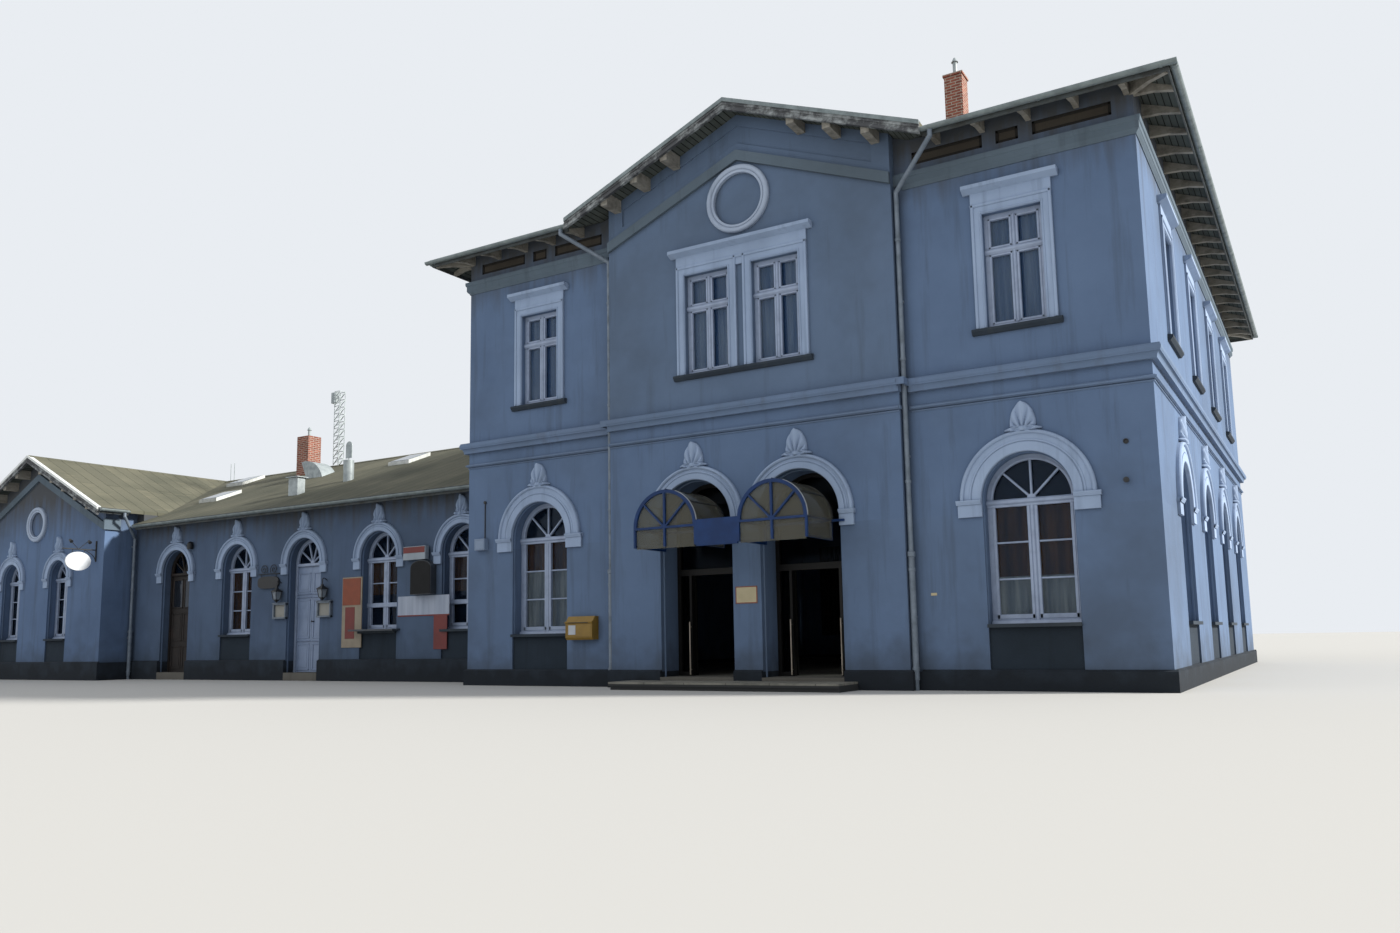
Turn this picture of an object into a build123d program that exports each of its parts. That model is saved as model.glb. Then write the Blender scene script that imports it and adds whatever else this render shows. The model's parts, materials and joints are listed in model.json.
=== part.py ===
from build123d import *
import os

os.makedirs("parts", exist_ok=True)

# A railway station building as a model at half size: a two-storey main block with a
# gabled centre, a long low wing on its left and a gabled pavilion at the wing's end.
# X runs along the front to the right, Y into the building and Z up.
# The origin is on the ground, in the middle of the main block's front wall face.
# Every size is in model millimetres, half of the real one.

# Levels
floor_top = 120
main_plinth_top = 180
wing_plinth_top = 300
plinth_step = 36
upper_floor_top = 3040
upper_floor_depth = 150

# Main block
main_width = 8250
main_wall = 310
main_wall_top = 5625
main_bay_edge = 1680
main_bay_step = 2080
main_bays = 4
front_bay_x = 2955
centre_width = 3565
centre_step = 125

# Wing and pavilion
wing_front_y = 750
wing_depth = 6470
wing_wall = 250
wing_wall_top = 2708
wing_first_bay = 825
wing_bay_step = 1650
wing_bays = 5
wing_length = 8650
pavilion_width = 4400
pavilion_step = 570
pavilion_wall_top = 2971

# Roofs, with every depth measured straight down
main_pitch = 0.4
wing_pitch = 0.403
pavilion_pitch = 0.476
roof_depth = 57
main_eave = 340
wing_eave = 218
pavilion_eave = 190
gable_half_width = 2218
gable_front_y = -417
gable_apex_top = 6462.5
pavilion_verge = 230
fascia_board = 15
fascia_drop = 40
barge_board = 25
barge_drop = 75
gutter_radius = 37
gutter_sheet = 4
gutter_below_edge = 30
tail_step = 500
tail_width = 50
tail_depth = 130
tail_tip_depth = 45
tail_waist = 0.5
tail_waist_share = 0.55
purlin_width = 90
purlin_depth = 110
purlin_places = (802, 1216, 1641)
pavilion_purlin_places = (400, 800, 1200, 1600, 2000)

# Bands on the main block
string_bottom = 2960
string_middle = 3020
string_top = 3090
string_low_step = 50
string_step = 85
lower_band_bottom = 2785
lower_band_height = 36
lower_band_step = 20
frieze_bottom = 5145
frieze_height = 120
frieze_step = 40
panel_bottom = 5345
panel_top = 5480
panel_sink = 18
long_panel = 730
short_panel = 220
panel_offset = 610
raking_panel_end = 200
raking_panel_rise = 90
raking_panel_drop = 130
pavilion_band_bottom = 3630
pavilion_band_height = 130
pavilion_capital_height = 190
capital_room = 12

# Arched openings of the main block and of the wing
main_arch_radius = 427
main_arch_spring = 1818
main_arch_sill = 626
main_reveal = 165
surround_outer = 634
wing_arch_radius = 384
wing_arch_spring = 1805
wing_arch_sill = 725
wing_reveal = 150
wing_surround_outer = 516
pavilion_arch_radius = 318
pavilion_window_x = 800
pavilion_surround_outer = 468
surround_step = 30
impost_cap = 45
impost_block = 120
impost_reach = 245
wing_impost_reach = 150
impost_step = 42
niche_seat = 30
apron_sink = 25
ornament_width = 170
ornament_height = 270
ornament_step = 60
ornament_waist_share = 0.7
ornament_foot_width = 236
ornament_foot_height = 52
ornament_foot_step = 50
frame_bar = 45
frame_depth = 40
glass_sheet = 6
sill_height = 34
sill_step = 40

# Upper windows
upper_width = 571
upper_sill = 3498
upper_head = 4653
upper_reveal = 60
trim_width = 105
trim_step = 22
hood_bottom = 4876
hood_height = 74
hood_step = 95
hood_reach = 70
upper_sill_height = 66
upper_sill_step = 55
upper_sill_reach = 40
centre_window_x = 432
upper_bar = 36
transom_drop = 370
sunk_round_z = 5408
sunk_round_radius = 312
sunk_round_ring = 80
pavilion_round_z = 2820
pavilion_round_radius = 240

# Entrances
entrance_x = 635
entrance_radius = 465
entrance_spring = 1823
entrance_surround_outer = 620
screen_setback = 355
screen_depth = 60
clear_half_width = 275
screen_post = 30
screen_head_bottom = 1250
screen_head_height = 70
leaf_width = 300
leaf_depth = 24
leaf_stile = 36
leaf_wall_gap = 14
leaf_floor_gap = 6
leaf_top_gap = 8
hanger_width = 60
hanger_stem = 6
hanger_head = 16
hanger_gap = 5.5
hanger_drop = 0.3
rail_sheet = 6
rail_reach = 600

# Canopies over the entrances
canopy_front_y = -760
canopy_radius = 390
canopy_spring = 1720
canopy_bottom = 1505
canopy_bar = 24
canopy_spoke = 19
canopy_glass = 5
canopy_pane_drop = 16
canopy_bearer_end = 60
canopy_panel_bottom = 1485
canopy_panel_top = 1762

# Wing doors
door_leaf_depth = 26
door_gap = 5
door_post = 45
door_head_drop = 50
bays_before_white_door = 2
bays_before_dark_door = 4
knuckle_radius = 9
pin_radius = 4
pin_gap = 0.4
knuckle_height = 70
knuckle_stand = 1
knuckle_flap = 5
flap_reach = 30
hinge_low = 350
hinge_high = 1450

# Ground works and fittings
landing_top = 84
landing_front_y = -615
landing_left = 1450
landing_right = 1245
nosing_depth = 45
nosing_step = 18
box_x = -2255
box_width = 390
box_height = 275
box_depth = 130
box_bottom = 545

serving_shelf_length = 920
serving_shelf_depth = 150
serving_shelf_board = 26
bays_before_shelf = 1
wall_box_from_corner = 249
wall_box_width = 170
wall_box_height = 145
wall_box_depth = 70
wall_box_bottom = 1694

# Downpipes
pipe_radius = 25
pipe_wall_gap = 14
pipe_outlet_drop = 60
pipe_slant_drop = 420
front_outlet_reach = 90
rear_pipe_x = 3860
clip_height = 24
clip_levels = (700, 2300)
upper_clip_level = 3900

# Chimneys, each from the main block's right wall or the wing's end and ridge
chimney_from_right = 2407
chimney_y = 2620
chimney_width = 228
chimney_depth = 240
chimney_rise = 256
cap_height = 32
cap_step = 14
flue_radius = 27
flue_height = 200
cowl_radius = 44
cowl_height = 60
wing_chimney_from_end = 1028
wing_chimney_from_ridge = 435
wing_chimney_width = 333
wing_chimney_depth = 300
wing_chimney_rise = 541

# Fittings on the wing's front slope
box_vent_from_end = 3395
box_vent_from_eave = 838
box_vent_width = 230
box_vent_depth = 150
box_vent_height = 275
vent_cap = 14
vent_cap_step = 35
round_vent_from_end = 3865
round_vent_from_eave = 1590
round_vent_radius = 88
round_vent_height = 345
vane_width = 150
vane_height = 290
vane_gap = 40
vane_stem = 12
hood_from_end = 1645
hood_from_eave = 2368
hood_length = 590
hood_depth = 350
hood_rise = 330
hood_sheet = 10
skylight_length = 520
skylight_depth = 520
skylight_frame = 62
skylight_places = ((3802, 2520), (196, 1260), (-1089, 2700))

# Mast and aerial on the wing's ridge
mast_from_end = 1375
mast_width = 150
mast_rise = 1500
mast_bar = 10
mast_bays = 10
mast_panel_width = 150
mast_panel_height = 217
mast_panel_depth = 60
aerial_from_end = -1975
aerial_gap = 120
aerial_rise = 375
aerial_radius = 7

# Worked-out places
main_half = main_width / 2
main_rear_y = 2 * main_bay_edge + (main_bays - 1) * main_bay_step
centre_half = centre_width / 2
centre_wall = main_wall + centre_step
wing_rear_y = wing_front_y + wing_depth
wing_end_x = -main_half - wing_length
pavilion_x = wing_end_x - pavilion_width / 2
pavilion_left_x = wing_end_x - pavilion_width
pavilion_front_y = wing_front_y - pavilion_step
pavilion_rear_y = wing_rear_y + pavilion_step
wing_recess_half = wing_arch_radius + niche_seat
pipe_x = centre_half + pipe_wall_gap + pipe_radius
pipe_y = -plinth_step - pipe_wall_gap - pipe_radius
pipe_room = pipe_radius + 1
wing_ridge_y = wing_front_y + wing_depth / 2
wing_ridge_top = wing_wall_top + roof_depth + wing_depth / 2 * wing_pitch
wing_eave_y = wing_front_y - wing_eave
main_ridge_top = main_wall_top + roof_depth + main_width / 2 * main_pitch
below_ground = -50
well_above = main_wall_top + main_width

# Places on the four fronts: u runs to the right along a front, seen from outside,
# and y runs into its wall.
main_front = Location((0, 0, 0))
centre_front = Location((0, -centre_step, 0))
main_right = Location((main_half, 0, 0), (0, 0, 90))
main_rear = Location((0, main_rear_y, 0), (0, 0, 180))
main_left = Location((-main_half, 0, 0), (0, 0, -90))
wing_front = Location((0, wing_front_y, 0))
wing_rear = Location((0, wing_rear_y, 0), (0, 0, 180))
pavilion_front = Location((pavilion_x, pavilion_front_y, 0))
pavilion_rear = Location((pavilion_x, pavilion_rear_y, 0), (0, 0, 180))
pavilion_right = Location((wing_end_x, 0, 0), (0, 0, 90))
pavilion_left = Location((pavilion_left_x, 0, 0), (0, 0, -90))

front_bays = (-front_bay_x, front_bay_x)
side_bays = [main_bay_edge + i * main_bay_step for i in range(main_bays)]
wing_bay_places = [-main_half - wing_first_bay - i * wing_bay_step for i in range(wing_bays)]
wing_door_places = [wing_bay_places[bays_before_white_door], wing_bay_places[bays_before_dark_door]]
wing_window_places = [u for u in wing_bay_places if u not in wing_door_places]
rear_wing_places = wing_bay_places[0::2]
entrances = (-entrance_x, entrance_x)
pipe_places = [(main_front, -pipe_x), (main_front, pipe_x), (main_rear, -rear_pipe_x), (main_rear, rear_pipe_x)]


def block(x0, x1, y0, y1, z0, z1):
    """A box between two corners."""
    return Pos((x0 + x1) / 2, (y0 + y1) / 2, (z0 + z1) / 2) * Box(abs(x1 - x0), abs(y1 - y0), abs(z1 - z0))


def outline(points):
    """A flat face with straight sides through the points."""
    return Face(Wire.make_polygon([(a, b, 0) for a, b in points], close=True))


def along_y(face, y0, y1):
    """A face drawn in X and Z, run from y0 to y1."""
    plane = Plane(origin=(0, y1, 0), x_dir=(1, 0, 0), z_dir=(0, -1, 0))
    return extrude(plane * face, y1 - y0, dir=(0, -1, 0))


def along_x(face, x0, x1):
    """A face drawn in Y and Z, run from x0 to x1."""
    plane = Plane(origin=(x0, 0, 0), x_dir=(0, 1, 0), z_dir=(1, 0, 0))
    return extrude(plane * face, x1 - x0, dir=(1, 0, 0))


def arch(u, radius, bottom, spring):
    """An opening's outline: straight jambs and a half-round head."""
    return Face(Wire([
        Edge.make_line((u - radius, bottom), (u + radius, bottom)),
        Edge.make_line((u + radius, bottom), (u + radius, spring)),
        Edge.make_three_point_arc((u + radius, spring), (u, spring + radius), (u - radius, spring)),
        Edge.make_line((u - radius, spring), (u - radius, bottom)),
    ]))


def half_ring(u, outer, inner, spring):
    """A half-round band standing on the spring line."""
    return Face(Wire([
        Edge.make_line((u + inner, spring), (u + outer, spring)),
        Edge.make_three_point_arc((u + outer, spring), (u, spring + outer), (u - outer, spring)),
        Edge.make_line((u - outer, spring), (u - inner, spring)),
        Edge.make_three_point_arc((u - inner, spring), (u, spring + inner), (u + inner, spring)),
    ]))


def fused(shapes):
    """Pieces joined into one."""
    whole = None
    for shape in shapes:
        whole = shape if whole is None else whole + shape
    return whole


def group(shapes):
    """Pieces of one node that stay separate solids."""
    return Compound(children=[solid for shape in shapes for solid in shape.solids()])


def save(shape, name):
    export_step(shape, f"parts/{name}.step")


# Roofs
def ridge_roof(x0, x1, y0, y1, edge_top, pitch, lowered, grown):
    """All below a gabled roof whose ridge runs along Y, lowered and grown at its eaves."""
    a, b = x0 - grown, x1 + grown
    edge = edge_top - lowered - grown * pitch
    top = edge + (b - a) / 2 * pitch
    return along_y(outline([(a, 0), (b, 0), (b, edge), ((a + b) / 2, top), (a, edge)]), y0 - grown, y1 + grown)


def hip_roof(lowered, grown):
    """All below the main hipped roof."""
    reach = main_eave + grown
    edge = main_wall_top + roof_depth - main_eave * main_pitch - lowered - grown * main_pitch
    half = main_half + reach
    top = edge + half * main_pitch
    y0, y1 = -reach, main_rear_y + reach
    across = outline([(-half, 0), (half, 0), (half, edge), (0, top), (-half, edge)])
    along = outline([(y0, 0), (y1, 0), (y1, edge), (y1 - half, top), (y0 + half, top), (y0, edge)])
    return along_y(across, y0, y1) & along_x(along, -half, half)


def centre_gable(lowered, grown):
    """All below the cross roof over the centre, run back under the main roof."""
    edge = gable_apex_top - gable_half_width * main_pitch
    back = (gable_apex_top - main_wall_top) / main_pitch + main_wall
    return ridge_roof(-gable_half_width, gable_half_width, gable_front_y, back, edge, main_pitch, lowered, grown)


def wing_ridge(lowered, grown):
    """All below the wing's roof, whose ridge runs along X into the pavilion's roof."""
    reach = wing_eave + grown
    edge = wing_wall_top + roof_depth - wing_eave * wing_pitch - lowered - grown * wing_pitch
    y0, y1 = wing_front_y - reach, wing_rear_y + reach
    top = edge + (y1 - y0) / 2 * wing_pitch
    face = outline([(y0, 0), (y1, 0), (y1, edge), ((y0 + y1) / 2, top), (y0, edge)])
    return along_x(face, pavilion_x, -main_half)


def pavilion_gable(lowered, grown):
    """All below the pavilion's roof, gabled at the front and rear."""
    edge = pavilion_wall_top + roof_depth - pavilion_eave * pavilion_pitch
    return ridge_roof(pavilion_left_x - pavilion_eave, wing_end_x + pavilion_eave,
                      pavilion_front_y - pavilion_verge, pavilion_rear_y + pavilion_verge,
                      edge, pavilion_pitch, lowered, grown)


past_edge = 10
under_main = hip_roof(roof_depth, past_edge)
under_centre = centre_gable(roof_depth, past_edge)
under_wing = wing_ridge(roof_depth, past_edge)
under_pavilion = pavilion_gable(roof_depth, past_edge)
over_centre = centre_gable(0, 0)
over_wing = wing_ridge(0, 0)
main_skin = hip_roof(0, 0) - under_main - over_centre
centre_roof = over_centre - under_centre - under_main
wing_roof = over_wing - under_wing - under_pavilion
pavilion_roof = pavilion_gable(0, 0) - under_pavilion - over_wing
main_rooms = under_main + under_centre
wing_rooms = under_wing + under_pavilion


def slope_plan(points):
    """Everything above one slope of the hipped roof, from its outline in plan."""
    return extrude(outline(points), well_above, dir=(0, 0, 1))


eave_x = main_half + main_eave
eave_front, eave_rear = -main_eave, main_rear_y + main_eave
ridge_front, ridge_rear = eave_front + eave_x, eave_rear - eave_x
slopes = [
    slope_plan([(-eave_x, eave_front), (eave_x, eave_front), (0, ridge_front)]),
    slope_plan([(eave_x, eave_front), (eave_x, eave_rear), (0, ridge_rear), (0, ridge_front)]),
    slope_plan([(eave_x, eave_rear), (-eave_x, eave_rear), (0, ridge_rear)]),
    slope_plan([(-eave_x, eave_rear), (-eave_x, eave_front), (0, ridge_front), (0, ridge_rear)]),
]
save(group([main_skin & slope for slope in slopes]), "main_roof")
save(centre_roof, "centre_roof")
save(wing_roof, "wing_roof")
save(pavilion_roof, "pavilion_roof")


# Openings through a wall, drawn on its front
def arched_hole(u, radius, sill, spring, reveal, wall, plinth):
    """An arched niche, its window's recess behind, and the sunk apron below the sill."""
    niche = along_y(arch(u, radius, sill - sill_height, spring), -1, reveal)
    half = radius + niche_seat
    recess = block(u - half, u + half, reveal, wall + 1, sill, spring + half)
    apron = block(u - radius, u + radius, -1, apron_sink, plinth, sill - sill_height)
    return niche + recess + apron


def arched_doorway(u, radius, spring, reveal, wall):
    """An arched doorway from the ground up, with the frame's recess behind its reveal."""
    half = radius + niche_seat
    return (along_y(arch(u, radius, below_ground, spring), -1, reveal)
            + block(u - half, u + half, reveal, wall + 1, below_ground, spring + half))


def upper_hole(u, wall):
    """A plain rectangular opening of the upper storey."""
    return block(u - upper_width / 2, u + upper_width / 2, -1, wall + 1, upper_sill, upper_head)


def sunk_panels(u):
    """The three shallow panels of the frieze over one bay."""
    places = [(u - panel_offset, long_panel), (u, short_panel), (u + panel_offset, long_panel)]
    return [block(v - w / 2, v + w / 2, -1, panel_sink, panel_bottom, panel_top) for v, w in places]


def cut_wall(wall, place, holes):
    """A wall with all its holes, which are drawn on the front at that place."""
    for hole in holes:
        wall = wall - place * hole
    return wall


def main_hole(u):
    return arched_hole(u, main_arch_radius, main_arch_sill, main_arch_spring, main_reveal, main_wall, main_plinth_top)


def wing_hole(u):
    return arched_hole(u, wing_arch_radius, wing_arch_sill, wing_arch_spring, wing_reveal, wing_wall, wing_plinth_top)


def pavilion_hole(u):
    return arched_hole(u, pavilion_arch_radius, wing_arch_sill, wing_arch_spring, wing_reveal, wing_wall,
                       wing_plinth_top)


# Main block walls
def main_bay_wall(x0, x1, u):
    wall = block(x0, x1, 0, main_wall, main_plinth_top, well_above) & main_rooms
    return cut_wall(wall, main_front, [main_hole(u), upper_hole(u, main_wall)] + sunk_panels(u))


save(main_bay_wall(-main_half, -centre_half, -front_bay_x), "front_wall_left")
save(main_bay_wall(centre_half, main_half, front_bay_x), "front_wall_right")

side_wall = block(main_half - main_wall, main_half, main_wall, main_rear_y - main_wall, main_plinth_top, well_above)
right_holes = [main_hole(u) for u in side_bays] + [upper_hole(u, main_wall) for u in side_bays]
right_panels = [panel for u in side_bays for panel in sunk_panels(u)]
save(cut_wall(side_wall & under_main, main_right, right_holes + right_panels), "right_wall")

left_upper_bays = [-v for i, v in enumerate(side_bays) if i != 1]
left_side = block(-main_half, main_wall - main_half, main_wall, main_rear_y - main_wall, main_plinth_top, well_above)
save(cut_wall(left_side & under_main, main_left, [upper_hole(u, main_wall) for u in left_upper_bays]), "left_wall")

rear_bays = (-front_bay_x, 0, front_bay_x)
rear_side = block(-main_half, main_half, main_rear_y - main_wall, main_rear_y, main_plinth_top, well_above)
rear_holes = [main_hole(u) for u in rear_bays] + [upper_hole(u, main_wall) for u in rear_bays]
save(cut_wall(rear_side & under_main, main_rear, rear_holes), "rear_wall")

# Centre of the main block, split beside and over its two doorways
doorway_edges = [-centre_half, -entrance_x - entrance_radius, -entrance_x + entrance_radius]
piers = [block(doorway_edges[0], doorway_edges[1], -centre_step, main_wall, main_plinth_top, entrance_spring),
         block(doorway_edges[2], -doorway_edges[2], -centre_step, main_wall, main_plinth_top, entrance_spring),
         block(-doorway_edges[1], -doorway_edges[0], -centre_step, main_wall, main_plinth_top, entrance_spring)]
save(group(piers), "entrance_piers")

entrance_head = block(-centre_half, centre_half, -centre_step, main_wall, entrance_spring, string_bottom)
entrance_niches = [along_y(arch(u, entrance_radius, entrance_spring - 1 - entrance_radius, entrance_spring),
                           -1, centre_wall + 1) for u in entrances]
save(cut_wall(entrance_head, centre_front, entrance_niches), "entrance_wall_head")


def raking_band(half_width, low, high, pitch):
    """A pair of bands that rise to the middle, between two heights there."""
    fall = half_width * pitch
    return outline([(-half_width, low - fall), (0, low), (half_width, low - fall),
                    (half_width, high - fall), (0, high), (-half_width, high - fall)])


centre_block = block(-centre_half, centre_half, -centre_step, main_wall, string_bottom, well_above) & main_rooms
centre_holes = [upper_hole(u, centre_wall) for u in (-centre_window_x, centre_window_x)]
sunk_round = along_y(Pos(0, sunk_round_z) * Circle(sunk_round_radius), -1, panel_sink)
raking_low = frieze_bottom + centre_half * main_pitch
raking_sink = along_y(raking_band(centre_half - raking_panel_end, raking_low + frieze_height + raking_panel_rise,
                                  gable_apex_top - roof_depth - raking_panel_drop, main_pitch), -1, panel_sink)
save(cut_wall(centre_block, centre_front, centre_holes + [sunk_round, raking_sink]), "centre_wall_upper")

# Wing and pavilion walls
wing_span = (wing_end_x, -main_half)
wing_band = block(*wing_span, wing_front_y, wing_front_y + wing_wall, wing_plinth_top, well_above) & wing_rooms
wing_holes = [wing_hole(u) for u in wing_window_places]
wing_holes += [arched_doorway(u, wing_arch_radius, wing_arch_spring, wing_reveal, wing_wall)
               for u in wing_door_places]
wing_wall_whole = cut_wall(wing_band, wing_front, wing_holes)
wing_joints = [-main_half, *wing_door_places, wing_end_x]
wing_lengths = [wing_wall_whole & block(x0, x1, wing_front_y - 1, wing_front_y + wing_wall + 1, 0, well_above)
                for x0, x1 in zip(wing_joints, wing_joints[1:])]
save(group(wing_lengths), "wing_front_wall")

wing_back = block(*wing_span, wing_rear_y - wing_wall, wing_rear_y, wing_plinth_top, well_above) & wing_rooms
save(cut_wall(wing_back, wing_rear, [wing_hole(-u) for u in rear_wing_places]), "wing_rear_wall")

pavilion_span = (pavilion_left_x, wing_end_x)
gable_front = block(*pavilion_span, pavilion_front_y, pavilion_front_y + wing_wall, wing_plinth_top, well_above)
pavilion_windows = (-pavilion_window_x, pavilion_window_x)
pavilion_sunk = along_y(Pos(0, pavilion_round_z) * Circle(pavilion_round_radius), -1, panel_sink)
pavilion_holes = [pavilion_hole(u) for u in pavilion_windows] + [pavilion_sunk]
save(cut_wall(gable_front & wing_rooms, pavilion_front, pavilion_holes), "pavilion_front_wall")

gable_rear = block(*pavilion_span, pavilion_rear_y - wing_wall, pavilion_rear_y, wing_plinth_top, well_above)
save(gable_rear & wing_rooms, "pavilion_rear_wall")

inner_front = pavilion_front_y + wing_wall
inner_rear = pavilion_rear_y - wing_wall
pavilion_sides = [
    block(pavilion_left_x, pavilion_left_x + wing_wall, inner_front, inner_rear, wing_plinth_top, well_above),
    block(wing_end_x - wing_wall, wing_end_x, inner_front, wing_front_y + wing_wall, wing_plinth_top, well_above),
    block(wing_end_x - wing_wall, wing_end_x, wing_rear_y - wing_wall, inner_rear, wing_plinth_top, well_above),
]
save(group([side & wing_rooms for side in pavilion_sides]), "pavilion_side_walls")


# Plinth and floors
def plinth():
    """The base under all the walls in straight lengths, open at the doorways."""
    out = plinth_step
    centre_edge = centre_half + out
    main_inner, main_outer = main_half - main_wall, main_half + out
    left_inner, left_outer = pavilion_left_x + wing_wall, pavilion_left_x - out
    end_inner, end_outer = wing_end_x - wing_wall, wing_end_x + out
    main_runs = [
        (-main_outer, -centre_edge, -out, main_wall), (-centre_edge, centre_edge, -centre_step - out, main_wall),
        (centre_edge, main_outer, -out, main_wall), (main_inner, main_outer, main_wall, main_rear_y - main_wall),
        (-main_outer, main_outer, main_rear_y - main_wall, main_rear_y + out),
        (-main_outer, -main_inner, main_wall, wing_front_y + wing_wall),
        (-main_half, -main_inner, wing_front_y + wing_wall, wing_rear_y - wing_wall),
        (-main_outer, -main_inner, wing_rear_y - wing_wall, main_rear_y - main_wall),
    ]
    low_runs = [
        (end_outer, -main_outer, wing_front_y - out, wing_front_y + wing_wall),
        (end_outer, -main_outer, wing_rear_y - wing_wall, wing_rear_y + out),
        (left_outer, end_outer, pavilion_front_y - out, inner_front),
        (left_outer, end_outer, inner_rear, pavilion_rear_y + out),
        (left_outer, left_inner, inner_front, inner_rear),
        (end_inner, end_outer, inner_front, wing_front_y + wing_wall),
        (end_inner, end_outer, wing_rear_y - wing_wall, inner_rear),
    ]
    doorways = [block(u - entrance_radius, u + entrance_radius, -centre_step - out - 1, main_wall + 1,
                      -1, wing_plinth_top) for u in entrances]
    doorways += [block(u - wing_arch_radius, u + wing_arch_radius, wing_front_y - out - 1,
                       wing_front_y + wing_reveal, -1, wing_plinth_top + 1) for u in wing_door_places]
    doorways += [block(u - wing_recess_half, u + wing_recess_half, wing_front_y + wing_reveal,
                       wing_front_y + wing_wall + 1, -1, wing_plinth_top + 1) for u in wing_door_places]
    pipe_holes = [block(s * pipe_x - pipe_room, s * pipe_x + pipe_room, pipe_y - pipe_room, pipe_y + pipe_room,
                        -1, main_plinth_top + 1) for s in (-1, 1)]
    cuts = fused(doorways + pipe_holes)
    return group([block(*run, 0, main_plinth_top) - cuts for run in main_runs]
                 + [block(*run, 0, wing_plinth_top) - cuts for run in low_runs])


save(plinth(), "plinth")


def ground_floor():
    """The floors of both parts, with a threshold in every doorway."""
    main_floor = [block(main_wall - main_half, main_half - main_wall, main_wall, main_rear_y - main_wall, 0, floor_top)]
    main_floor += [block(u - entrance_radius, u + entrance_radius, -centre_step - plinth_step, main_wall,
                         0, floor_top) for u in entrances]
    wing_floor = [
        block(pavilion_left_x + wing_wall, -main_half, wing_front_y + wing_wall, wing_rear_y - wing_wall,
              0, floor_top),
        block(pavilion_left_x + wing_wall, wing_end_x - wing_wall, inner_front, inner_rear, 0, floor_top),
    ]
    wing_floor += [block(u - wing_arch_radius, u + wing_arch_radius, wing_front_y - plinth_step,
                         wing_front_y + wing_reveal, 0, floor_top) for u in wing_door_places]
    wing_floor += [block(u - wing_recess_half, u + wing_recess_half, wing_front_y + wing_reveal,
                         wing_front_y + wing_wall, 0, floor_top) for u in wing_door_places]
    return group([fused(main_floor), fused(wing_floor)])


save(ground_floor(), "ground_floor")
save(block(main_wall - main_half, main_half - main_wall, main_wall, main_rear_y - main_wall,
           upper_floor_top - upper_floor_depth, upper_floor_top), "upper_floor")


# Bands round the main block
def band(step, bottom, top):
    """The straight lengths of a band on the main block's left, rear, right and front walls."""
    edge, side = main_half + step, centre_half + step
    return [
        block(-edge, -main_half, 0, main_rear_y, bottom, top),
        block(-edge, edge, main_rear_y, main_rear_y + step, bottom, top),
        block(main_half, edge, 0, main_rear_y, bottom, top),
        block(-edge, -side, -step, 0, bottom, top),
        block(side, edge, -step, 0, bottom, top),
    ]


def centre_band(step, bottom, top):
    """The lengths of a band round the stepped centre."""
    side, front = centre_half + step, -centre_step - step
    return [
        block(-side, side, front, -centre_step, bottom, top),
        block(-side, -centre_half, -centre_step, 0, bottom, top),
        block(centre_half, side, -centre_step, 0, bottom, top),
    ]


def pipe_notches(bottom, top):
    """Room for the main block's downpipes through its bands."""
    return fused([place * block(u - pipe_room, u + pipe_room, pipe_y - pipe_room - string_step, 1, bottom, top)
                  for place, u in pipe_places])


string_low = (band(string_low_step, string_bottom, string_middle)
              + centre_band(string_low_step, string_bottom, string_middle))
string_high = band(string_step, string_middle, string_top) + centre_band(string_step, string_middle, string_top)
lower_band_top = lower_band_bottom + lower_band_height
lower_band = (band(lower_band_step, lower_band_bottom, lower_band_top)
              + centre_band(lower_band_step, lower_band_bottom, lower_band_top))
string_cuts = over_wing + pipe_notches(lower_band_bottom - 1, string_top + 1)
save(group([low + high - string_cuts for low, high in zip(string_low, string_high)]
           + [length - string_cuts for length in lower_band]), "string_course")

frieze_top = frieze_bottom + frieze_height
frieze_band = band(frieze_step, frieze_bottom, frieze_top)
frieze_ends = [block(s * centre_half, s * (centre_half + frieze_step), -frieze_step, 0, frieze_bottom, frieze_top)
               for s in (-1, 1)]
raking = along_y(raking_band(centre_half, raking_low, raking_low + frieze_height, main_pitch), -frieze_step, 0)
pavilion_raking = along_y(raking_band(pavilion_width / 2, pavilion_band_bottom,
                                      pavilion_band_bottom + pavilion_band_height, pavilion_pitch), -frieze_step, 0)
capital_bottom = pavilion_band_bottom - pavilion_width / 2 * pavilion_pitch
capital_top = capital_bottom + pavilion_capital_height
capital_end = wing_front_y - wing_eave - fascia_board - 2 * gutter_radius - capital_room
capitals = [block(wing_end_x, wing_end_x + frieze_step, pavilion_front_y - frieze_step, capital_end,
                  capital_bottom, capital_top),
            block(pavilion_left_x - frieze_step, pavilion_left_x, pavilion_front_y - frieze_step,
                  pavilion_rear_y, capital_bottom, capital_top)]
save(group(frieze_band[:3] + [frieze_band[3] + frieze_ends[0], frieze_band[4] + frieze_ends[1],
                              centre_front * raking, pavilion_front * pavilion_raking] + capitals), "frieze")


# Surrounds of the arched openings
def arch_surround(u, inner, outer, spring, reach):
    """A raised half-round band on two imposts, with an ornament on its crown."""
    band = along_y(half_ring(u, outer, inner, spring), -surround_step, 0)
    imposts = []
    for side in (-1, 1):
        near, far = u + side * inner, u + side * (inner + reach)
        imposts.append(block(near, far, -impost_step, 0, spring - impost_cap, spring))
        narrow = far - side * (impost_step - surround_step)
        imposts.append(block(near, narrow, -surround_step, 0, spring - impost_cap - impost_block, spring - impost_cap))
    return fused([band] + imposts)


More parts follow.
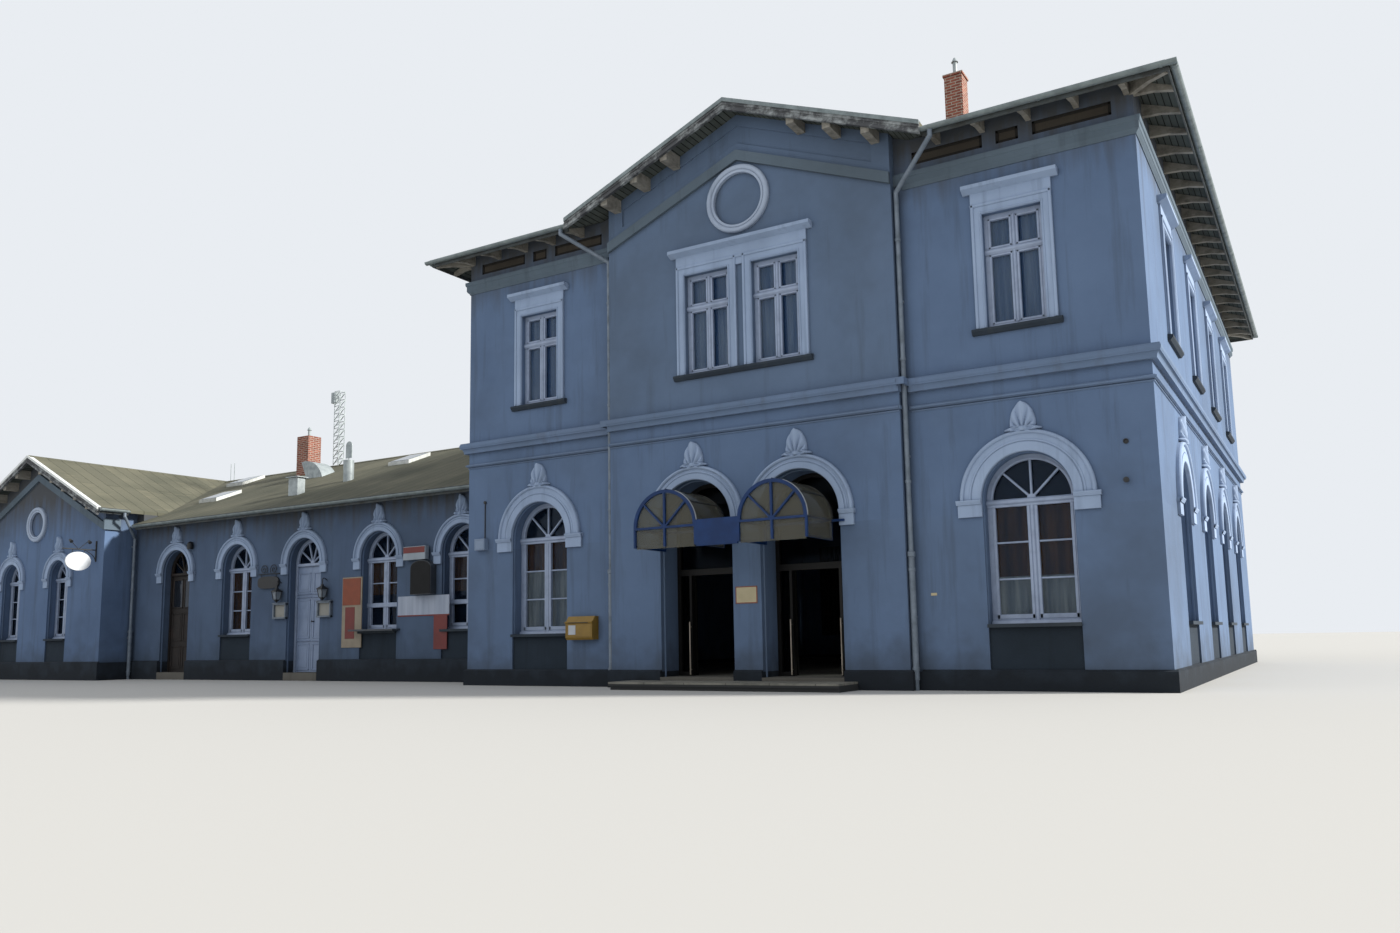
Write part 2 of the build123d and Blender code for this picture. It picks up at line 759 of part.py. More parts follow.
def ornament(u, outer, spring):
    """A leaf-shaped block on a low scrolled foot, standing on the crown."""
    half, waist = ornament_width / 2, ornament_width / 2 * ornament_waist_share
    foot = spring + outer
    bottom, top = foot + ornament_foot_height, foot + ornament_height
    middle = (bottom + top) / 2
    leaf = Face(Wire([
        Edge.make_line((u - waist, bottom), (u + waist, bottom)),
        Edge.make_three_point_arc((u + waist, bottom), (u + half, middle), (u, top)),
        Edge.make_three_point_arc((u, top), (u - half, middle), (u - waist, bottom)),
    ]))
    base = block(u - ornament_foot_width / 2, u + ornament_foot_width / 2, -ornament_foot_step, 0, foot, bottom)
    return along_y(leaf, -ornament_step, 0) + base


main_style = (main_arch_radius, surround_outer, main_arch_spring, impost_reach)
entrance_style = (entrance_radius, entrance_surround_outer, entrance_spring, entrance_x - entrance_radius)
wing_style = (wing_arch_radius, wing_surround_outer, wing_arch_spring, wing_impost_reach)
pavilion_style = (pavilion_arch_radius, pavilion_surround_outer, wing_arch_spring, wing_impost_reach)
arch_places = ([(main_front, u, main_style) for u in front_bays]
               + [(main_right, u, main_style) for u in side_bays]
               + [(wing_front, u, wing_style) for u in wing_bay_places]
               + [(pavilion_front, u, pavilion_style) for u in pavilion_windows])
surrounds = [place * arch_surround(u, *style) for place, u, style in arch_places]
entrance_pair = fused([centre_front * arch_surround(u, *entrance_style) for u in entrances])
save(group(surrounds + [entrance_pair]), "arch_surrounds")

ornament_places = arch_places + [(centre_front, u, entrance_style) for u in entrances]
ornaments = [place * ornament(u, style[1], style[2]) for place, u, style in ornament_places]
save(group(ornaments), "arch_ornaments")


# Arched windows
def arched_frame(u, radius, sill, spring, reveal):
    """A window frame behind its niche: outer frame, transom at the spring line, middle post."""
    half = radius + niche_seat
    face = outline([(u - half, sill), (u + half, sill), (u + half, spring + half), (u - half, spring + half)])
    frame = along_y(face, reveal, reveal + frame_depth)
    frame = frame - along_y(arch(u, radius - frame_bar, sill + frame_bar, spring), reveal - 1, reveal + frame_depth + 1)
    transom = block(u - radius, u + radius, reveal, reveal + frame_depth, spring - frame_bar, spring)
    post = block(u - frame_bar / 2, u + frame_bar / 2, reveal, reveal + frame_depth, sill, spring)
    return fused([frame, transom, post])


def arched_pane(u, radius, sill, spring, reveal):
    """A sheet of glass against the back of the frame."""
    half = radius + niche_seat / 2
    back = reveal + frame_depth
    return block(u - half, u + half, back, back + glass_sheet, sill + frame_bar / 2, spring + half)


def arched_sill(u, radius, sill, reveal):
    return block(u - radius, u + radius, -sill_step, reveal, sill - sill_height, sill)


main_window = (main_arch_radius, main_arch_sill, main_arch_spring, main_reveal)
wing_window = (wing_arch_radius, wing_arch_sill, wing_arch_spring, wing_reveal)
pavilion_window = (pavilion_arch_radius, wing_arch_sill, wing_arch_spring, wing_reveal)
arched_windows = ([(main_front, u, main_window) for u in front_bays]
                  + [(main_right, u, main_window) for u in side_bays]
                  + [(main_rear, u, main_window) for u in rear_bays]
                  + [(wing_front, u, wing_window) for u in wing_window_places]
                  + [(wing_rear, -u, wing_window) for u in rear_wing_places]
                  + [(pavilion_front, u, pavilion_window) for u in pavilion_windows])
save(group([place * arched_frame(u, *size) for place, u, size in arched_windows]), "arched_window_frames")
save(group([place * arched_pane(u, *size) for place, u, size in arched_windows]), "arched_window_glass")
arched_sills = [place * arched_sill(u, size[0], size[1], size[3]) for place, u, size in arched_windows]


# Upper windows
def upper_frame(u):
    """A cross window: outer frame, middle post and a transom in the upper third."""
    half = upper_width / 2
    y0, y1 = upper_reveal, upper_reveal + frame_depth
    whole = block(u - half, u + half, y0, y1, upper_sill, upper_head)
    transom = upper_head - transom_drop
    lights = []
    for x0, x1 in ((u - half + upper_bar, u - upper_bar / 2), (u + upper_bar / 2, u + half - upper_bar)):
        lights.append(block(x0, x1, y0 - 1, y1 + 1, upper_sill + upper_bar, transom - upper_bar))
        lights.append(block(x0, x1, y0 - 1, y1 + 1, transom + upper_bar / 2, upper_head - upper_bar))
    return whole - fused(lights)


def upper_pane(u):
    back = upper_reveal + frame_depth
    return block(u - upper_width / 2, u + upper_width / 2, back, back + glass_sheet, upper_sill, upper_head)


def upper_trim(centres):
    """The moulded trim round one window or a pair, with its frieze and hood."""
    half = upper_width / 2
    left, right = centres[0] - half - trim_width, centres[-1] + half + trim_width
    trim = block(left, right, -trim_step, 0, upper_sill, hood_bottom)
    for u in centres:
        trim = trim - block(u - half, u + half, -trim_step - 1, 1, upper_sill - 1, upper_head)
    if len(centres) > 1:
        inner = centres[-1] - half - trim_width
        trim = trim - block(-inner, inner, -trim_step - 1, 1, upper_sill - 1, upper_head)
    hood_face = outline([(0, hood_bottom), (0, hood_bottom + hood_height), (-hood_step, hood_bottom + hood_height),
                         (-hood_step, hood_bottom + hood_height / 2), (-trim_step, hood_bottom)])
    return trim + along_x(hood_face, left - hood_reach, right + hood_reach)


def upper_ledge(centres):
    """The dark projecting sill below one window or a pair."""
    edge = upper_width / 2 + trim_width + upper_sill_reach
    face = outline([(0, upper_sill - upper_sill_height), (0, upper_sill), (-upper_sill_step, upper_sill - 10),
                    (-upper_sill_step, upper_sill - upper_sill_height / 2),
                    (-upper_sill_step / 2, upper_sill - upper_sill_height)])
    return along_x(face, centres[0] - edge, centres[-1] + edge)


upper_groups = ([(main_front, (u,)) for u in front_bays] + [(centre_front, (-centre_window_x, centre_window_x))]
                + [(main_right, (u,)) for u in side_bays] + [(main_left, (u,)) for u in left_upper_bays]
                + [(main_rear, (u,)) for u in rear_bays])
upper_windows = [(place, u) for place, centres in upper_groups for u in centres]
save(group([place * upper_frame(u) for place, u in upper_windows]), "upper_window_frames")
save(group([place * upper_pane(u) for place, u in upper_windows]), "upper_window_glass")
save(group([place * upper_trim(centres) for place, centres in upper_groups]), "upper_window_trims")
upper_ledges = [place * upper_ledge(centres) - over_wing for place, centres in upper_groups]
save(group(arched_sills + upper_ledges), "window_sills")


def round_ring(z, radius):
    """The raised ring round a blind round window."""
    return along_y(Pos(0, z) * (Circle(radius + sunk_round_ring) - Circle(radius)), -surround_step, 0)


save(group([centre_front * round_ring(sunk_round_z, sunk_round_radius),
            pavilion_front * round_ring(pavilion_round_z, pavilion_round_radius)]), "round_window_rings")


# Entrances
def entrance_screen(u):
    """The fixed frame in a doorway: posts, head bar and fanlight frame."""
    y0, y1 = screen_setback, screen_setback + screen_depth
    outer = along_y(arch(u, entrance_radius, floor_top, entrance_spring), y0, y1)
    head_top = screen_head_bottom + screen_head_height
    inner = entrance_radius - frame_bar
    holes = [along_y(arch(u, inner, head_top, entrance_spring), y0 - 1, y1 + 1),
             block(u - clear_half_width, u + clear_half_width, y0 - 1, y1 + 1, floor_top - 1, screen_head_bottom)]
    for side in (-1, 1):
        holes.append(block(u + side * (clear_half_width + screen_post), u + side * inner, y0 - 1, y1 + 1,
                           floor_top + frame_bar, screen_head_bottom))
    screen = outer
    for hole in holes:
        screen = screen - hole
    return screen


def entrance_panes(u):
    """The two side lights and the fanlight, each held inside its frame."""
    y0 = screen_setback + screen_depth / 2
    inner = entrance_radius - frame_bar
    head_top = screen_head_bottom + screen_head_height
    panes = [along_y(arch(u, inner, head_top, entrance_spring), y0, y0 + glass_sheet)]
    for side in (-1, 1):
        panes.append(block(u + side * (clear_half_width + screen_post), u + side * inner, y0, y0 + glass_sheet,
                           floor_top + frame_bar, screen_head_bottom))
    return panes


save(group([centre_front * entrance_screen(u) for u in entrances]), "entrance_frames")
save(group([centre_front * pane for u in entrances for pane in entrance_panes(u)]), "entrance_glass")

leaf_y = centre_wall + leaf_wall_gap
leaf_middle = leaf_y + leaf_depth / 2
leaf_top = screen_head_bottom + screen_head_height / 2
rail_bottom = leaf_top + leaf_top_gap
rail_inside = rail_bottom + rail_sheet
rail_top = rail_inside + hanger_drop + hanger_head + hanger_gap + rail_sheet
slot_half = hanger_stem / 2 + hanger_gap
rail_half = leaf_middle - centre_wall
head_half = rail_half - rail_sheet - hanger_gap


def door_rail(u):
    """The hollow rail on the inner wall face that the sliding leaves hang from."""
    rail = block(u - rail_reach, u + rail_reach, leaf_middle - rail_half, leaf_middle + rail_half,
                 rail_bottom, rail_top)
    hollow = block(u - rail_reach - 1, u + rail_reach + 1, leaf_middle - rail_half + rail_sheet,
                   leaf_middle + rail_half - rail_sheet, rail_inside, rail_top - rail_sheet)
    slot = block(u - rail_reach - 1, u + rail_reach + 1, leaf_middle - slot_half, leaf_middle + slot_half,
                 rail_bottom - 1, rail_inside + 1)
    return rail - hollow - slot


def sliding_leaf(u, side):
    """A glazed leaf with two hangers that run in the rail, parked open beside the doorway."""
    near, far = u + side * clear_half_width, u + side * (clear_half_width + leaf_width)
    y1 = leaf_y + leaf_depth
    leaf = block(near, far, leaf_y, y1, floor_top + leaf_floor_gap, leaf_top)
    for y in (leaf_y, leaf_middle + glass_sheet / 2):
        leaf = leaf - block(near + side * leaf_stile, far - side * leaf_stile, y,
                            y + leaf_depth / 2 - glass_sheet / 2,
                            floor_top + leaf_floor_gap + leaf_stile, leaf_top - leaf_stile)
    for spot in (near + side * leaf_width / 4, far - side * leaf_width / 4):
        head_bottom = rail_inside + hanger_drop
        stem = block(spot - hanger_width / 2, spot + hanger_width / 2, leaf_middle - hanger_stem / 2,
                     leaf_middle + hanger_stem / 2, leaf_top, head_bottom)
        head = block(spot - hanger_width / 2, spot + hanger_width / 2, leaf_middle - head_half,
                     leaf_middle + head_half, head_bottom, head_bottom + hanger_head)
        leaf = leaf + stem + head
    return leaf


save(group([centre_front * door_rail(u) for u in entrances]), "entrance_rails")
for doorway, u in (("left", -entrance_x), ("right", entrance_x)):
    for leaf_name, side in (("left", -1), ("right", 1)):
        save(centre_front * sliding_leaf(u, side), f"{doorway}_entrance_{leaf_name}_leaf")


# Canopies
def canopy_frame(u):
    """The front rib of a barrel canopy with its spokes, and rails back to a bearer on the imposts."""
    y0, y1 = canopy_front_y, canopy_front_y + canopy_bar
    bearer_y = canopy_seat_y - canopy_bar
    inner = canopy_radius - canopy_bar
    rib = along_y(half_ring(u, canopy_radius, inner, canopy_spring), y0, y1)
    legs = [block(u + side * inner, u + side * canopy_radius, y0, y1, canopy_bottom, canopy_spring)
            for side in (-1, 1)]
    bar = block(u - inner, u + inner, y0, y1, canopy_spring - canopy_bar, canopy_spring)
    post = block(u - canopy_bar / 2, u + canopy_bar / 2, y0, y1, canopy_bottom, canopy_spring + inner + canopy_bar / 2)
    spoke_length = inner + canopy_bar / 2
    spoke = Pos(0, (y0 + y1) / 2, spoke_length / 2) * Box(canopy_spoke, canopy_bar, spoke_length)
    spokes = [Pos(u, 0, canopy_spring - canopy_bar / 2) * Rot(0, angle, 0) * spoke for angle in (-45, 45)]
    rails = [block(u + side * inner, u + side * canopy_radius, y1, canopy_seat_y, z, z + canopy_bar)
             for side in (-1, 1) for z in (canopy_spring - canopy_bar, canopy_bottom)]
    rear_legs = [block(u + side * inner, u + side * canopy_radius, bearer_y, canopy_seat_y, canopy_bottom,
                       canopy_spring) for side in (-1, 1)]
    reach = entrance_radius + canopy_bearer_end
    bearer = block(u - reach, u + reach, bearer_y, canopy_seat_y, canopy_spring - canopy_bar, canopy_spring)
    return fused([rib, post, bar, bearer] + legs + spokes + rails + rear_legs)


canopy_seat_y = -centre_step - surround_step
canopy_panel = block(canopy_radius - entrance_x, entrance_x - canopy_radius, canopy_front_y,
                     canopy_front_y + canopy_bar, canopy_panel_bottom, canopy_panel_top)
save(fused([canopy_frame(u) for u in entrances] + [canopy_panel]), "canopy_frames")


def canopy_cover(u):
    """The bent glass over the ribs, the upright side panes and the pane behind the front rib."""
    outer = canopy_radius + canopy_glass
    barrel = along_y(half_ring(u, outer, canopy_radius, canopy_spring), canopy_front_y + canopy_bar, -centre_step)
    sides = [block(u + side * canopy_radius, u + side * outer, canopy_front_y + canopy_bar,
                   canopy_seat_y - canopy_bar, canopy_bottom, canopy_spring) for side in (-1, 1)]
    front_y = canopy_front_y + canopy_bar
    front = along_y(arch(u, canopy_radius - canopy_bar, canopy_bottom - canopy_pane_drop, canopy_spring),
                    front_y, front_y + canopy_glass)
    return group([fused([barrel] + sides), front])


save(group([canopy_cover(u) for u in entrances]), "canopy_glass")


# Wing doors
def door_frame(u, radius):
    """A door frame behind the reveal, with a glazed fanlight opening over its head."""
    y0, y1 = wing_reveal, wing_reveal + frame_depth
    half = radius + niche_seat
    spring = wing_arch_spring
    face = outline([(u - half, floor_top), (u + half, floor_top), (u + half, spring + half), (u - half, spring + half)])
    frame = along_y(face, y0, y1)
    inner = radius - door_post
    frame = frame - along_y(arch(u, inner, spring, spring + 1), y0 - 1, y1 + 1)
    return frame - block(u - inner, u + inner, y0 - 1, y1 + 1, floor_top - 1, spring - door_head_drop)


def hinge_pins(x, toward):
    """Frame knuckles with their pins: x is the pin's place, toward the side that the frame is on."""
    y = wing_reveal + frame_depth + knuckle_stand + knuckle_radius
    pieces = []
    for z in (hinge_low, hinge_high):
        knuckle = Pos(x, y, z - knuckle_height / 2) * Cylinder(knuckle_radius, knuckle_height)
        pin = Pos(x, y, z + knuckle_height / 2) * Cylinder(pin_radius, knuckle_height + 4)
        flap = block(x, x + toward * flap_reach, y - knuckle_radius - knuckle_stand, y - knuckle_radius + knuckle_flap,
                     z - knuckle_height, z)
        pieces.append(knuckle + pin + flap)
    return fused(pieces)


def hinged_leaf(x_hinge, x_free, floor_gap):
    """A closed leaf and its knuckles. The pin stands in line with the gap beside the leaf."""
    toward = 1 if x_free > x_hinge else -1
    y1 = wing_reveal + frame_depth
    y0 = y1 - door_leaf_depth
    edge = x_hinge + toward * door_gap / 2
    leaf = block(edge, x_free, y0, y1, floor_top + floor_gap, wing_arch_spring - door_head_drop - door_gap)
    y = y1 + knuckle_stand + knuckle_radius
    for z in (hinge_low, hinge_high):
        knuckle = Pos(x_hinge, y, z + knuckle_height / 2 + pin_gap / 2) * Cylinder(knuckle_radius,
                                                                                  knuckle_height - pin_gap)
        flap = block(x_hinge, x_hinge + toward * (flap_reach + door_gap), y1, y - knuckle_radius + knuckle_flap,
                     z + pin_gap, z + knuckle_height)
        bore = Pos(x_hinge, y, z + knuckle_height / 2) * Cylinder(pin_radius + pin_gap, knuckle_height + 10)
        leaf = leaf + (knuckle + flap - bore)
    return leaf


wing_door_half = wing_arch_radius - door_post
door_frames = []
for u in wing_door_places:
    door_frames.append(door_frame(u, wing_arch_radius))
white_u, dark_u = wing_door_places
hinge_offset = wing_door_half - door_gap / 2
pins = [(white_u - hinge_offset, -1), (white_u + hinge_offset, 1), (dark_u - hinge_offset, -1)]
door_frames[0] = door_frames[0] + hinge_pins(*pins[0]) + hinge_pins(*pins[1])
door_frames[1] = door_frames[1] + hinge_pins(*pins[2])
save(wing_front * door_frames[0], "white_door_frame")
save(wing_front * door_frames[1], "dark_door_frame")
save(wing_front * hinged_leaf(white_u - hinge_offset, white_u - door_gap / 2, door_gap), "white_door_left_leaf")
save(wing_front * hinged_leaf(white_u + hinge_offset, white_u + door_gap / 2, door_gap), "white_door_right_leaf")
save(wing_front * hinged_leaf(dark_u - hinge_offset, dark_u + wing_door_half - door_gap, door_gap), "dark_door_leaf")
fan_half = wing_arch_radius - door_post / 2
fan_panes = [block(u - fan_half, u + fan_half, wing_reveal + frame_depth, wing_reveal + frame_depth + glass_sheet,
                   wing_arch_spring - door_head_drop / 2, wing_arch_spring + fan_half) for u in wing_door_places]
save(group([wing_front * pane for pane in fan_panes]), "door_fanlight_glass")


# Roof timbers, boards and gutters
def main_under(distance):
    """Height of the main roof's underside at a distance inside its walls' outer face."""
    return main_wall_top + distance * main_pitch


def rafter_tail(u):
    """A shaped rafter end under the eave, from the wall out to the fascia."""
    tip = -main_eave
    face = outline([(0, main_under(0)), (0, main_under(0) - tail_depth),
                    (tip * tail_waist, main_under(tip * tail_waist) - tail_depth * tail_waist_share),
                    (tip, main_under(tip) - tail_tip_depth), (tip, main_under(tip))])
    return along_x(face, u - tail_width / 2, u + tail_width / 2)


def hip_tail():
    """The diagonal rafter end under a hip, out to the fascias' corner, its top below both slopes."""
    slope = main_pitch / 2 ** 0.5
    lowered = tail_width / 2 * slope
    tip = -main_eave * 2 ** 0.5 + tail_width / 2
    top = main_wall_top - lowered
    face = outline([(tail_width, top + tail_width * slope), (tail_width, top - tail_depth),
                    (tip * tail_waist, top + tip * tail_waist * slope - tail_depth * tail_waist_share),
                    (tip, top + tip * slope - tail_tip_depth), (tip, top + tip * slope)])
    return along_x(face, -tail_width / 2, tail_width / 2)


def spread(start, end, step):
    """Even places between two ends, as near to the step as fits."""
    count = max(1, round((end - start) / step))
    return [start + (end - start) * i / count for i in range(count + 1)]


edge_room = tail_width
front_tails = spread(gable_half_width + edge_room, main_half - edge_room, tail_step)
side_tails = spread(edge_room, main_rear_y - edge_room, tail_step)
rear_tails = spread(-main_half + edge_room, main_half - edge_room, tail_step)
tails = ([main_front * rafter_tail(s * u) for u in front_tails for s in (-1, 1)]
         + [main_right * rafter_tail(u) for u in side_tails] + [main_left * rafter_tail(-u) for u in side_tails]
         + [main_rear * rafter_tail(u) for u in rear_tails])
main_body = block(-main_half, main_half, 0, main_rear_y, 0, well_above)
hips = [Location((x, y, 0), (0, 0, turn)) * hip_tail() - main_body
        for x, y, turn in ((-main_half, 0, -45), (main_half, 0, 45), (main_half, main_rear_y, 135),
                           (-main_half, main_rear_y, -135))]


def purlin_end(x, apex, pitch, y0, y1):
    """A purlin's end under the verge, its top cut to the roof's slope."""
    a, b = x - purlin_width / 2, x + purlin_width / 2
    top_a = apex - roof_depth - abs(a) * pitch
    top_b = apex - roof_depth - abs(b) * pitch
    bottom = min(top_a, top_b) - purlin_depth
    return along_y(outline([(a, bottom), (b, bottom), (b, top_b), (a, top_a)]), y0, y1)


pavilion_apex = pavilion_wall_top + roof_depth + pavilion_width / 2 * pavilion_pitch
purlins = [purlin_end(s * x, gable_apex_top, main_pitch, gable_front_y, -centre_step)
           for x in purlin_places for s in (-1, 1)]
purlins += [pavilion_front * purlin_end(s * x, pavilion_apex, pavilion_pitch, -pavilion_verge, 0)
            for x in pavilion_purlin_places for s in (-1, 1)]
save(group(tails + hips + purlins), "roof_timbers")


def barge_pair(half_width, apex, pitch, y1):
    """Two raking boards that meet at the apex with an upright joint."""
    low = apex - roof_depth - barge_drop
    fall = half_width * pitch
    return [along_y(outline([(0, low), (0, apex), (s * half_width, apex - fall), (s * half_width, low - fall)]),
                    y1 - barge_board, y1) for s in (-1, 1)]


pavilion_half = pavilion_width / 2 + pavilion_eave
pavilion_barges = barge_pair(pavilion_half, pavilion_apex, pavilion_pitch, -pavilion_verge)
save(group(barge_pair(gable_half_width, gable_apex_top, main_pitch, gable_front_y)
           + [place * board for place in (pavilion_front, pavilion_rear) for board in pavilion_barges]), "bargeboards")


def fascia(eave, pitch, wall_height, u0, u1):
    """The upright board along a roof's edge."""
    top = wall_height + roof_depth - eave * pitch
    return block(u0, u1, -eave - fascia_board, -eave, top - roof_depth - fascia_drop, top)


def gutter(eave, pitch, wall_height, u0, u1):
    """A half-round gutter with closed ends on the fascia."""
    top = wall_height + roof_depth - eave * pitch - gutter_below_edge
    middle = -eave - fascia_board - gutter_radius
    r, t = gutter_radius, gutter_sheet
    full = Face(Wire([Edge.make_line((middle - r, top), (middle + r, top)),
                      Edge.make_three_point_arc((middle + r, top), (middle, top - r), (middle - r, top))]))
    inner = Face(Wire([Edge.make_line((middle - r + t, top + 1), (middle + r - t, top + 1)),
                       Edge.make_line((middle + r - t, top + 1), (middle + r - t, top)),
                       Edge.make_three_point_arc((middle + r - t, top), (middle, top - r + t), (middle - r + t, top)),
                       Edge.make_line((middle - r + t, top), (middle - r + t, top + 1))]))
    return along_x(full, u0, u1) - along_x(inner, u0 + t, u1 - t)


main_edge = (main_eave, main_pitch, main_wall_top)
wing_edge = (wing_eave, wing_pitch, wing_wall_top)
pavilion_edge = (pavilion_eave, pavilion_pitch, pavilion_wall_top)
gutter_reach = 2 * gutter_radius
eave_runs = [
    (main_front, main_edge, -eave_x, -gable_half_width, gutter_reach, 0),
    (main_front, main_edge, gable_half_width, eave_x, 0, gutter_reach),
    (main_rear, main_edge, -eave_x, eave_x, gutter_reach, gutter_reach),
    (main_right, main_edge, -main_eave, main_rear_y + main_eave, 0, 0),
    (main_left, main_edge, -main_rear_y - main_eave, main_eave, 0, 0),
    (wing_front, wing_edge, wing_end_x + pavilion_eave + 2 * gutter_reach, -main_half, 0, 0),
    (wing_rear, wing_edge, main_half, -wing_end_x - pavilion_eave - 2 * gutter_reach, 0, 0),
    (pavilion_right, pavilion_edge, pavilion_front_y - pavilion_verge, wing_front_y - wing_eave - gutter_reach, 0, 0),
    (pavilion_right, pavilion_edge, wing_rear_y + wing_eave + gutter_reach, pavilion_rear_y + pavilion_verge, 0, 0),
    (pavilion_left, pavilion_edge, -pavilion_rear_y - pavilion_verge, pavilion_verge - pavilion_front_y, 0, 0),
]
fascias = [place * fascia(*edge, u0 - (fascia_board if a else 0), u1 + (fascia_board if b else 0))
           for place, edge, u0, u1, a, b in eave_runs]
gutters = [place * gutter(*edge, u0 - (a + fascia_board if a else 0), u1 + (b + fascia_board if b else 0))
           for place, edge, u0, u1, a, b in eave_runs]
save(group(fascias), "fascias")
save(group(gutters), "gutters")


def pipe_run(outlet, elbow):
    """A pipe from a gutter's underside: a short drop, a slant to the elbow, then down to the ground."""
    x, y, z = outlet
    route = Polyline(outlet, (x, y, z - pipe_outlet_drop), elbow, (elbow[0], elbow[1], 0))
    section = Plane(origin=outlet, z_dir=(0, 0, -1)) * Circle(pipe_radius)
    return sweep(section, path=route, transition=Transition.RIGHT)


def gutter_bottom(eave, pitch, wall_height):
    """Height of the underside of a gutter."""
    return wall_height + roof_depth - eave * pitch - gutter_below_edge - gutter_radius


def clips(u, levels):
    """Small blocks that hold a pipe to the wall behind it."""
    return [block(u - clip_height / 2, u + clip_height / 2, pipe_y, 0, z, z + clip_height) for z in levels]


def main_downpipe(u, outlet_u):
    """A pipe down the main block's wall at u, from an outlet of the gutter."""
    gutter_middle = -main_eave - fascia_board - gutter_radius
    outlet_z = gutter_bottom(*main_edge)
    run = pipe_run((outlet_u, gutter_middle, outlet_z), (u, pipe_y, outlet_z - pipe_slant_drop))
    return fused([run] + clips(u, clip_levels + (upper_clip_level,)))


def corner_downpipe():
    """A pipe in the corner between the pavilion and the wing."""
    outlet_z = gutter_bottom(*pavilion_edge)
    corner_y = wing_front_y + pipe_y
    outlet = (corner_y - front_outlet_reach - pipe_slant_drop / 2, -pavilion_eave - fascia_board - gutter_radius)
    run = pipe_run((*outlet, outlet_z), (corner_y, pipe_y, outlet_z - pipe_slant_drop))
    return fused([run] + clips(corner_y, clip_levels))


front_outlet = gable_half_width + front_outlet_reach
downpipes = [place * main_downpipe(u, u if abs(u) > front_outlet else front_outlet * (1 if u > 0 else -1))
             for place, u in pipe_places]
save(group(downpipes + [pavilion_right * corner_downpipe()]), "downpipes")


# Chimneys
def upright(x, y, width, depth, z0, z1):
    """A post with its middle at x and y."""
    return block(x - width / 2, x + width / 2, y - depth / 2, y + depth / 2, z0, z1)


def flue(x, y, bottom, height):
    """A sheet-metal flue with a cone for a cowl."""
    pipe = Pos(x, y, bottom + height / 2) * Cylinder(flue_radius, height)
    return pipe + Pos(x, y, bottom + height + cowl_height / 2) * Cone(cowl_radius, flue_radius / 2, cowl_height)


chimney_x = main_half - chimney_from_right
chimney_top = main_ridge_top + chimney_rise
main_chimney = upright(chimney_x, chimney_y, chimney_width, chimney_depth, 0, chimney_top) - hip_roof(0, 0)
main_cap = upright(chimney_x, chimney_y, chimney_width + 2 * cap_step, chimney_depth + 2 * cap_step,
                   chimney_top, chimney_top + cap_height)
wing_chimney_x = wing_end_x + wing_chimney_from_end
wing_chimney_y = wing_ridge_y - wing_chimney_from_ridge
wing_chimney_top = wing_ridge_top + wing_chimney_rise
wing_chimney = upright(wing_chimney_x, wing_chimney_y, wing_chimney_width, wing_chimney_depth,
                       0, wing_chimney_top) - over_wing
save(group([main_chimney + main_cap, wing_chimney]), "chimneys")


# Vents, skylights and masts on the roofs
def wing_slope(y):
    """Height of the wing's front slope."""
    return wing_ridge_top - (wing_ridge_y - y) * wing_pitch


def box_vent():
    x, y = wing_end_x + box_vent_from_end, wing_eave_y + box_vent_from_eave + box_vent_depth / 2
    top = wing_slope(y) + box_vent_height
    cap = upright(x, y, box_vent_width + 2 * vent_cap_step, box_vent_depth + 2 * vent_cap_step, top, top + vent_cap)
    return upright(x, y, box_vent_width, box_vent_depth, 0, top) - over_wing + cap


def round_vent():
    """A round pipe with an upright rounded plate on a stem."""
    x, y = wing_end_x + round_vent_from_end, wing_eave_y + round_vent_from_eave
    top = wing_slope(y) + round_vent_height
    pipe = Pos(x, y, top / 2) * Cylinder(round_vent_radius, top) - over_wing
    stem = upright(x, y, vane_stem, vane_stem, top, top + vane_gap)
    plate = arch(x, vane_width / 2, top + vane_gap, top + vane_gap + vane_height - vane_width / 2)
    return fused([pipe, stem, along_y(plate, y - vane_stem / 2, y + vane_stem / 2)])


def vent_hood():
    """A bent sheet over an outlet, open on its left."""
    x0, y0 = wing_end_x + hood_from_end, wing_eave_y + hood_from_eave
    x1 = x0 + hood_length
    base = wing_slope(y0)
    top = base + hood_rise
    lean = hood_length * (1 - 0.5 ** 0.5)
    face = Face(Wire([Edge.make_three_point_arc((x0, top), (x1 - lean, base + hood_rise * 0.5 ** 0.5), (x1, base)),
                      Edge.make_line((x1, base), (x1, 0)), Edge.make_line((x1, 0), (x1 - hood_sheet, 0)),
                      Edge.make_line((x1 - hood_sheet, 0), (x1 - hood_sheet, base)),
                      Edge.make_three_point_arc((x1 - hood_sheet, base), (x1 - lean - hood_sheet,
                                                base + hood_rise * 0.5 ** 0.5 - hood_sheet), (x0, top - hood_sheet)),
                      Edge.make_line((x0, top - hood_sheet), (x0, top))]))
    side = Face(Wire([Edge.make_three_point_arc((x0, top), (x1 - lean, base + hood_rise * 0.5 ** 0.5), (x1, base)),
                      Edge.make_line((x1, base), (x1, 0)), Edge.make_line((x1, 0), (x0 + hood_length / 4, 0)),
                      Edge.make_line((x0 + hood_length / 4, 0), (x0 + hood_length / 4, base)),
                      Edge.make_line((x0 + hood_length / 4, base), (x0, top))]))
    y1 = y0 + hood_depth
    return fused([along_y(face, y0, y1), along_y(side, y0, y0 + hood_sheet),
                  along_y(side, y1 - hood_sheet, y1)]) - over_wing


main_flue = flue(chimney_x, chimney_y, chimney_top + cap_height, flue_height)
wing_flue = flue(wing_chimney_x, wing_chimney_y, wing_chimney_top, flue_height - cowl_height)
save(group([box_vent(), round_vent(), vent_hood(), main_flue, wing_flue]), "roof_vents")


